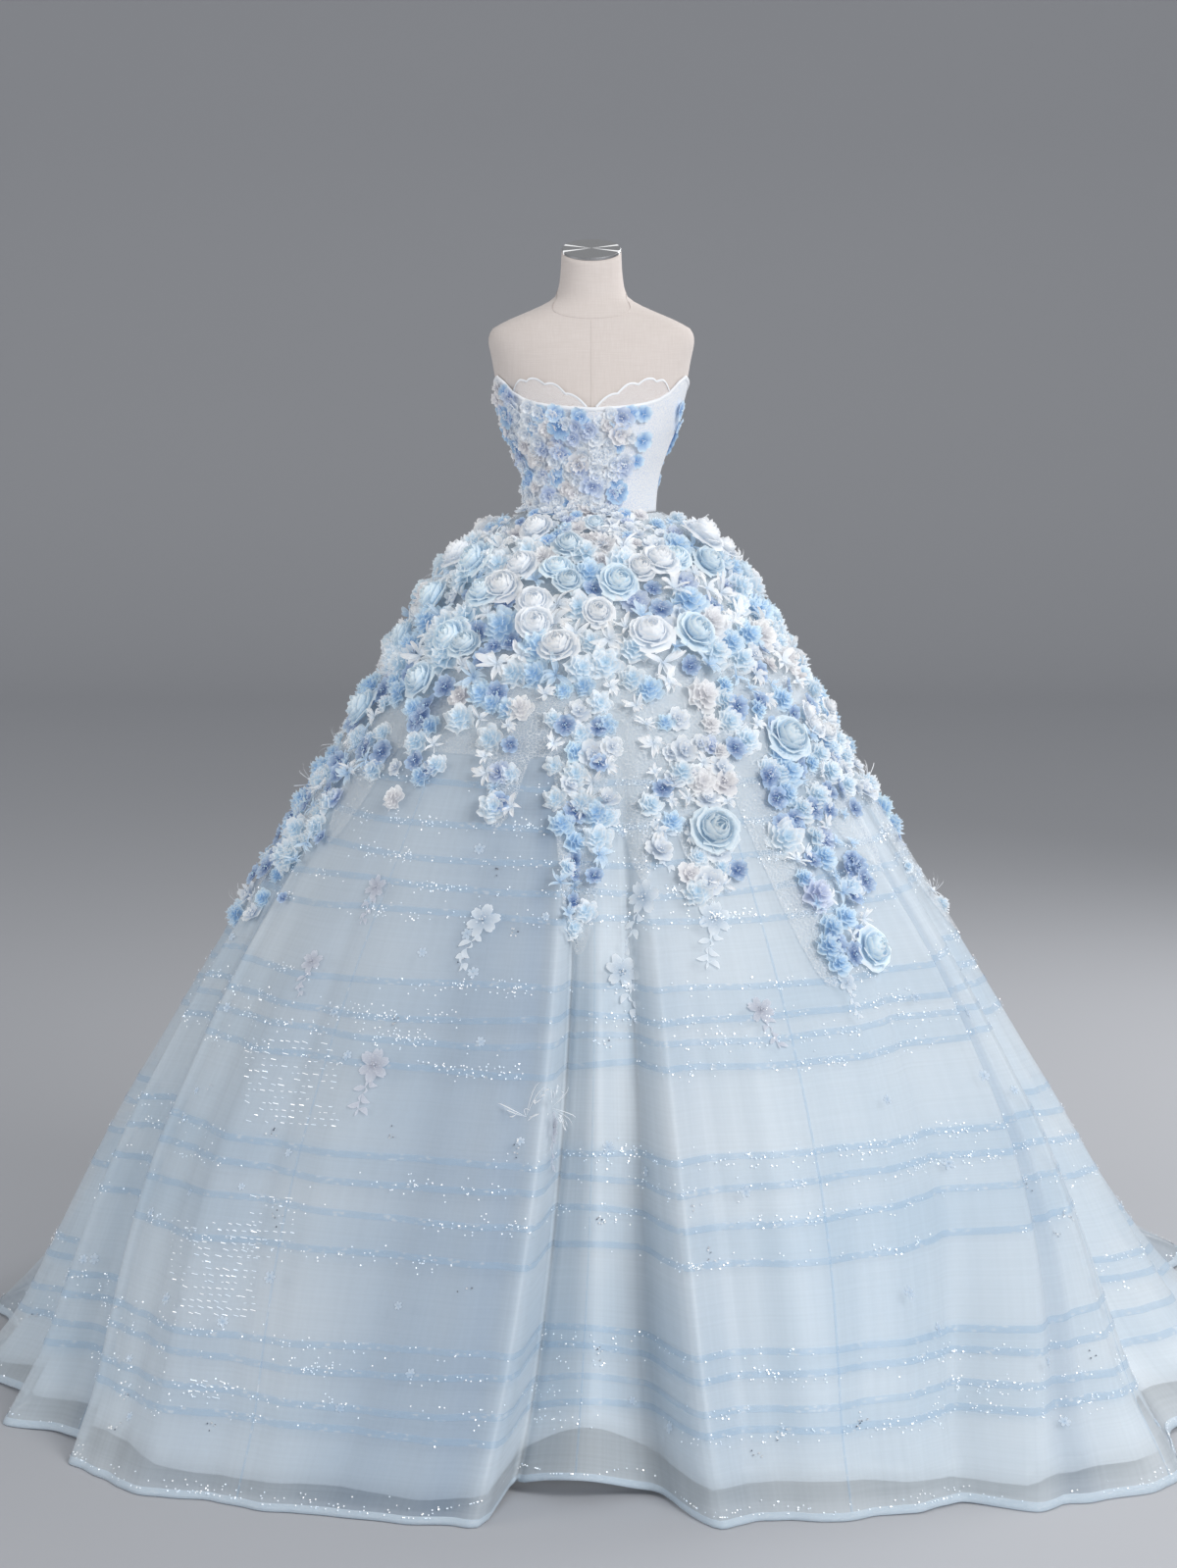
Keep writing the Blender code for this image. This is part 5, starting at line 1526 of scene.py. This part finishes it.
class GOWN_OT_blossoms(bpy.types.Operator):
    """Covers hips and skirt with roses, blossoms and ruffles on their net"""

    bl_idname = "gown.add_blossoms"
    bl_label = "Roses and blossoms"

    def execute(self, context):
        colours, sizes = gown_settings(context)
        draw = random.Random("skirt blossoms")
        tree = gown_tree()
        bunch = Bunch()
        taken = []
        for bloom in SKIRT_BLOOMS:
            seat = seat_at_pixel(tree, bloom.px, bloom.py)
            size = bloom.size * (ROSE_GROWTH if "rose" in bloom.kind else 1.0)
            bunch.add(LOOKS[bloom.kind], seat, size, draw)
            taken.append((seat.point, size))
            bearing = bearing_of(seat.point) + 180.0 + draw.uniform(-6.0, 6.0)
            height = min(max(seat.point.z + draw.uniform(-0.03, 0.03), 0.75), 1.48)
            back = seat_at_bearing(tree, bearing, height)
            bunch.add(LOOKS[bloom.kind], back, bloom.size * draw.uniform(0.9, 1.1), draw)
            taken.append((back.point, bloom.size))
        self.add_trails(tree, bunch, taken, draw)
        self.fill(tree, bunch, taken, draw, sizes.filler_gap)
        pieces = bunch.build(material_of_piece)
        net = self.add_net(colours, sizes)
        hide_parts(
            "blossom_mantle_left", "blossom_mantle_front", "blossom_mantle_right", "blossom_mantle_back"
        )
        return {"FINISHED"}

    def add_trails(self, tree, bunch, taken, draw):
        """Fills the trails that the front shows with small blossoms, ruffles and loose petals."""
        for line in TRAIL_LINES:
            kinds, weights = zip(*MOODS[line.mood].items())
            placed = []
            for _ in range(TRAIL_TRIES):
                along, across = draw.random(), draw.uniform(-1.0, 1.0)
                half = line.half0 + (line.half1 - line.half0) * along
                x = line.px0 + (line.px1 - line.px0) * along + 0.85 * across * half
                y = line.py0 + (line.py1 - line.py0) * along
                seat = seat_at_pixel(tree, x, y)
                if any((seat.point - other).length < TRAIL_SPACING for other in placed):
                    continue
                if any((seat.point - other).length < 0.30 * size for other, size in taken):
                    continue
                placed.append(seat.point)
                size = draw.uniform(0.034, 0.056)
                bunch.add(LOOKS[draw.choices(kinds, weights)[0]], seat, size, draw, lean=0.35)
            taken += [(point, 0.03) for point in placed]

    def fill(self, tree, bunch, taken, draw, spacing):
        """Sets blossoms wherever the net is bare, close on the hips and thinner down the trails."""
        cells = {}
        steps = list(itertools.product((-1, 0, 1), repeat=3))

        def cell_of(point):
            return tuple(math.floor(part / CELL) for part in point)

        for point, size in taken:
            cells.setdefault(cell_of(point), []).append((point, size))

        def is_free(point, room):
            x, y, z = cell_of(point)
            near = (cells.get((x + step[0], y + step[1], z + step[2]), ()) for step in steps)
            return all((other - point).length >= room + 0.18 * size for cell in near for other, size in cell)

        for _ in range(FILL_TRIES):
            bearing = draw.uniform(-180.0, 180.0)
            height = FILL_TOP - FILL_SPAN * draw.random() ** 0.9
            low = MANTLE_EDGE_HEIGHT - 0.02 if abs(bearing) < FRONT_HALF else mantle_low(bearing)
            if height < low:
                continue
            thinning = max(0.0, min(1.0, (MANTLE_EDGE_HEIGHT + 0.10 - height) / 0.28))
            size = draw.uniform(0.042, 0.066) * (1.0 - 0.30 * thinning)
            room = spacing * (0.72 + 1.1 * thinning)
            hit = seat_at_bearing(tree, bearing, height)
            if not is_free(hit.point, room):
                continue
            kind, growth = pick_filler(draw)
            size *= growth * (1.0 - 0.25 * thinning) * min(1.0, 0.55 + (FILL_TOP - height) / 0.12)
            bunch.add(LOOKS[kind], hit, size, draw, lean=0.3)
            cells.setdefault(cell_of(hit.point), []).append((hit.point, size * 0.75))

    def add_net(self, colours, sizes):
        """Net that carries the blossoms, with trails that hang from its lower edge."""
        bearings = even_bearings(NET_COLUMNS)
        top = WAIST_HEIGHT - 0.004
        lean = [between_rows(LEAN, "upper_bearing", "lean", bearing, period=360.0) for bearing in bearings]
        grid = np.zeros((NET_ROWS, NET_COLUMNS, 3))
        for column, bearing in enumerate(bearings):
            low = mantle_low(bearing)
            heights = [top + (low - top) * row / (NET_ROWS - 1) for row in range(NET_ROWS)]
            grid[:, column, :] = skirt_grid((bearing - lean[column],), heights)[:, 0, :]
        grid = grid + grid_normals(grid) * sizes.net_gap
        return add_grid("blossom_net", grid, True, net_material(colours))


class GOWN_OT_motifs(bpy.types.Operator):
    """Applies lace motifs, feathery sprigs and faint sequinned flowers to the organza"""

    bl_idname = "gown.add_motifs"
    bl_label = "Motifs and sprigs"

    def execute(self, context):
        draw = random.Random("flat motifs")
        tree = gown_tree()
        bunch = Bunch()
        for bloom in FLAT_BLOOMS:
            seat = seat_at_pixel(tree, bloom.px, bloom.py)
            loose = bloom.kind == "sprig"
            self.add_one(bunch, bloom, seat, draw, loose)
            height = min(max(seat.point.z, 0.62), 1.40)
            bearing = bearing_of(seat.point) + 180.0 + draw.uniform(-9.0, 9.0)
            self.add_one(bunch, bloom, seat_at_bearing(tree, bearing, height), draw, loose)
        for _ in range(FAINT_FLOWERS):
            bearing, height = draw.uniform(-180.0, 180.0), 0.05 + 0.95 * draw.random() ** 1.3
            seat = seat_at_bearing(tree, bearing, height)
            bunch.add(LOOKS["faint_flower"], seat, draw.uniform(0.014, 0.024), draw, 0.02, 0.3)
        bunch.build(material_of_piece)
        return {"FINISHED"}

    def add_one(self, bunch, bloom, seat, draw, loose):
        """Sets one motif flat and upright, or one sprig loose."""
        lean, flatten = (0.5, 1.0) if loose else (0.02, 0.5)
        bunch.add(LOOKS[bloom.kind], seat, bloom.size, draw, lean, flatten, upright=not loose)


class GOWN_OT_glitter(bpy.types.Operator):
    """Strews glitter along the bands and the hem, dashes on the left panels and dark beads between"""

    bl_idname = "gown.add_glitter"
    bl_label = "Glitter and beads"

    def execute(self, context):
        draw = random.Random("glitter")
        tree = gown_tree()
        # Glitter with painted highlights and a painted glow; dark beads with painted highlights only
        white = sparkle_material("cut_foil_glitter", "#DCE9F5", 0.25, 0.4, 0.45)
        dark = sparkle_material("cut_dark_glass_beads", "#55606F", 0.2, 0.0, 0.0)
        flakes = []
        for height in (*RIBBON_HEIGHTS * 2, *(HEM_GLITTER_HEIGHT,) * 3):
            for _ in range(GLITTER_CLUSTERS):
                middle, spread = draw.uniform(-180.0, 180.0), draw.uniform(1.0, 5.0)
                for _ in range(GLITTER_FLAKES):
                    bearing = middle + draw.gauss(0.0, spread)
                    lift = column_values((bearing - 4.0, bearing, bearing + 4.0))[2].max()
                    scattered = height + draw.gauss(0.0, BAND_SCATTER)
                    place = min(max(scattered, lift + HEM_GLITTER_LIFT), GLITTER_TOP)
                    flakes.append((seat_at_bearing(tree, bearing, place), FLAKE_HALF, FLAKE_HALF))
        for patch in DASH_PATCHES:
            for row in range(patch.rows):
                y = patch.py0 + (patch.py1 - patch.py0) * row / patch.rows
                x = patch.px0 + draw.uniform(0.0, 5.0)
                while x < patch.px1:
                    length = draw.uniform(3.0, 8.0)
                    if draw.random() < DASH_SHARE:
                        seat = seat_at_pixel(tree, x, y + DASH_SLOPE * (x - patch.px0))
                        flakes.append((seat, 0.0008 * length, 0.0005))
                    x += length + draw.uniform(1.5, 5.0)
        self.add_flakes("glitter_flakes", flakes, white, draw, FLAKE_GAP)
        beads = []
        for _ in range(BEAD_CLUSTERS):
            bearing, height = draw.uniform(-180.0, 180.0), draw.uniform(0.06, 0.95)
            for _ in range(draw.randint(3, 7)):
                seat = seat_at_bearing(tree, bearing + draw.gauss(0.0, 0.35), height + draw.gauss(0.0, 0.006))
                beads.append((seat, BEAD_HALF, BEAD_HALF))
        self.add_flakes("dark_beads", beads, dark, draw, BEAD_GAP)
        return {"FINISHED"}

    def add_flakes(self, name, flakes, material, draw, gap):
        """One joined mesh of small flat flakes, each tilted a little."""
        points, faces = [], []
        for seat, half_width, half_height in flakes:
            normal = (seat.normal + random_vector(draw, 0.4)).normalized()
            side = Vector((-seat.point.y, seat.point.x, 0.0)).normalized() * -1.0
            along = (side - normal * side.dot(normal)).normalized()
            up = normal.cross(along)
            middle = seat.point + seat.normal * gap
            first = len(points)
            for across, upwards in ((-1, -1), (1, -1), (1, 1), (-1, 1)):
                points.append(middle + along * (across * half_width) + up * (upwards * half_height))
            faces.append((first, first + 1, first + 2, first + 3))
        places = np.array([tuple(point) for point in points])
        add_mesh(name, places, faces, material, smooth=False)


class GOWN_OT_bodice_blossoms(bpy.types.Operator):
    """Sews flat blossoms over the bodice and leaves the right front panel bare"""

    bl_idname = "gown.add_bodice_blossoms"
    bl_label = "Bodice blossoms"

    def execute(self, context):
        draw = random.Random("bodice blossoms")
        tree = gown_tree()
        bunch = Bunch()
        for bloom in BODICE_BLOOMS:
            seat = seat_at_pixel(tree, bloom.px, bloom.py)
            bunch.add(LOOKS[bloom.kind], seat, bloom.size, draw, lean=0.14, flatten=0.85)
            bearing = bearing_of(seat.point) + 180.0 + draw.uniform(-8.0, 8.0)
            height = min(seat.point.z, neckline_height(around_form(bearing)) - 0.020)
            back = seat_at_bearing(tree, bearing, height)
            bunch.add(LOOKS[bloom.kind], back, bloom.size, draw, lean=0.10, flatten=0.55)
        self.fill(tree, bunch, draw)
        bunch.build(material_of_piece, "_bodice")
        return {"FINISHED"}

    def fill(self, tree, bunch, draw):
        """Sets small flat blossoms between the large ones, front and back."""
        kinds = [f"{tone}_blossom" for tone in ("cream", "white", "lilac", "white", "sky", "white")]
        taken = []
        for _ in range(BODICE_TRIES):
            bearing = draw.uniform(-82.0, 34.0) if draw.random() < 0.6 else draw.uniform(130.0, 230.0)
            low = 1.445 if abs(bearing) < 30.0 or abs(bearing) > 150.0 else 1.500
            height = draw.uniform(low, neckline_height(around_form(bearing)) - 0.012)
            seat = seat_at_bearing(tree, bearing, height)
            if any((seat.point - other).length < BODICE_SPACING for other in taken):
                continue
            taken.append(seat.point)
            if height < 1.512:
                seat = Seat(seat.point + seat.normal * 0.008, seat.normal)
            look, size = LOOKS[draw.choice(kinds)], draw.uniform(0.024, 0.038)
            bunch.add(look, seat, size, draw, lean=0.16, flatten=0.8)


class GOWN_OT_stage(bpy.types.Operator):
    """Adds a plain pale floor, soft studio lights and the camera"""

    bl_idname = "gown.add_stage"
    bl_label = "Stage"

    def execute(self, context):
        scene = context.scene
        mesh = bpy.data.meshes.new("studio_sweep")
        width, front, back, bend, height = 16.0, -12.0, 12.0, 3.0, 9.0
        profile = [(front, 0.0), (back, 0.0)]
        for step in range(1, 13):
            angle = math.radians(90.0 * step / 12)
            profile.append((back + bend * math.sin(angle), bend * (1 - math.cos(angle))))
        profile.append((back + bend, height))
        points = [(x, y, z) for y, z in profile for x in (-width, width)]
        faces = [(2 * i, 2 * i + 1, 2 * i + 3, 2 * i + 2) for i in range(len(profile) - 1)]
        mesh.from_pydata(points, [], faces)
        mesh.shade_smooth()
        mesh.materials.append(floor_material())
        sweep = bpy.data.objects.new("studio_sweep", mesh)
        scene.collection.objects.link(sweep)
        for light in LIGHTS:
            self.add_light(light)
        world = bpy.data.worlds.new("studio_air")
        world.use_nodes = True
        air = world.node_tree.nodes["Background"].inputs
        air["Color"].default_value = linear("#F4F5F7")
        air["Strength"].default_value = AIR_STRENGTH
        scene.world = world
        camera_data = bpy.data.cameras.new("photo_camera")
        camera_data.lens = LENS
        camera_data.sensor_width = SENSOR
        camera = bpy.data.objects.new("photo_camera", camera_data)
        camera.location = CAMERA_PLACE
        camera.rotation_euler = (math.radians(90.0 - CAMERA_PITCH), 0.0, math.radians(CAMERA_TURN))
        scene.collection.objects.link(camera)
        scene.camera = camera
        scene.view_settings.view_transform = "Standard"
        return {"FINISHED"}

    def add_light(self, row):
        """Square soft white light that points at a height on the pole."""
        data = bpy.data.lights.new(row.name, "AREA")
        data.size = row.size
        data.energy = row.watts
        light = bpy.data.objects.new(row.name, data)
        light.location = row.place
        ahead = Vector((0.0, 0.0, row.aim_height)) - Vector(row.place)
        light.rotation_euler = ahead.to_track_quat("-Z", "Y").to_euler()
        bpy.context.scene.collection.objects.link(light)


class GOWN_PT_panel(bpy.types.Panel):
    """Lists the gown's pieces in the order in which they are made"""

    bl_idname = "GOWN_PT_panel"
    bl_label = "Ball Gown"
    bl_space_type = "VIEW_3D"
    bl_region_type = "UI"
    bl_category = "Gown"

    def draw(self, context):
        colours, sizes = gown_settings(context)
        for group in (colours, sizes):
            for name in type(group).__annotations__:
                self.layout.prop(group, name)
        for operator in OPERATORS:
            self.layout.operator(operator.bl_idname)


OPERATORS = (
    GOWN_OT_stage,
    GOWN_OT_form,
    GOWN_OT_lining,
    GOWN_OT_overskirt,
    GOWN_OT_bodice,
    GOWN_OT_bodice_blossoms,
    GOWN_OT_blossoms,
    GOWN_OT_motifs,
    GOWN_OT_glitter,
)
CLASSES = (GownColours, GownSizes, *OPERATORS, GOWN_PT_panel)


def register():
    """Registers the classes and gives the scene its colours and sizes."""
    for listed in CLASSES:
        bpy.utils.register_class(listed)
    bpy.types.Scene.gown_colours = bpy.props.PointerProperty(type=GownColours)
    bpy.types.Scene.gown_sizes = bpy.props.PointerProperty(type=GownSizes)


def unregister():
    """Takes back what register gave."""
    del bpy.types.Scene.gown_sizes
    del bpy.types.Scene.gown_colours
    for listed in reversed(CLASSES):
        bpy.utils.unregister_class(listed)


def main():
    """Makes the whole gown."""
    register()
    for operator in OPERATORS:
        group, name = operator.bl_idname.split(".")
        getattr(getattr(bpy.ops, group), name)()


if __name__ == "__main__":
    main()
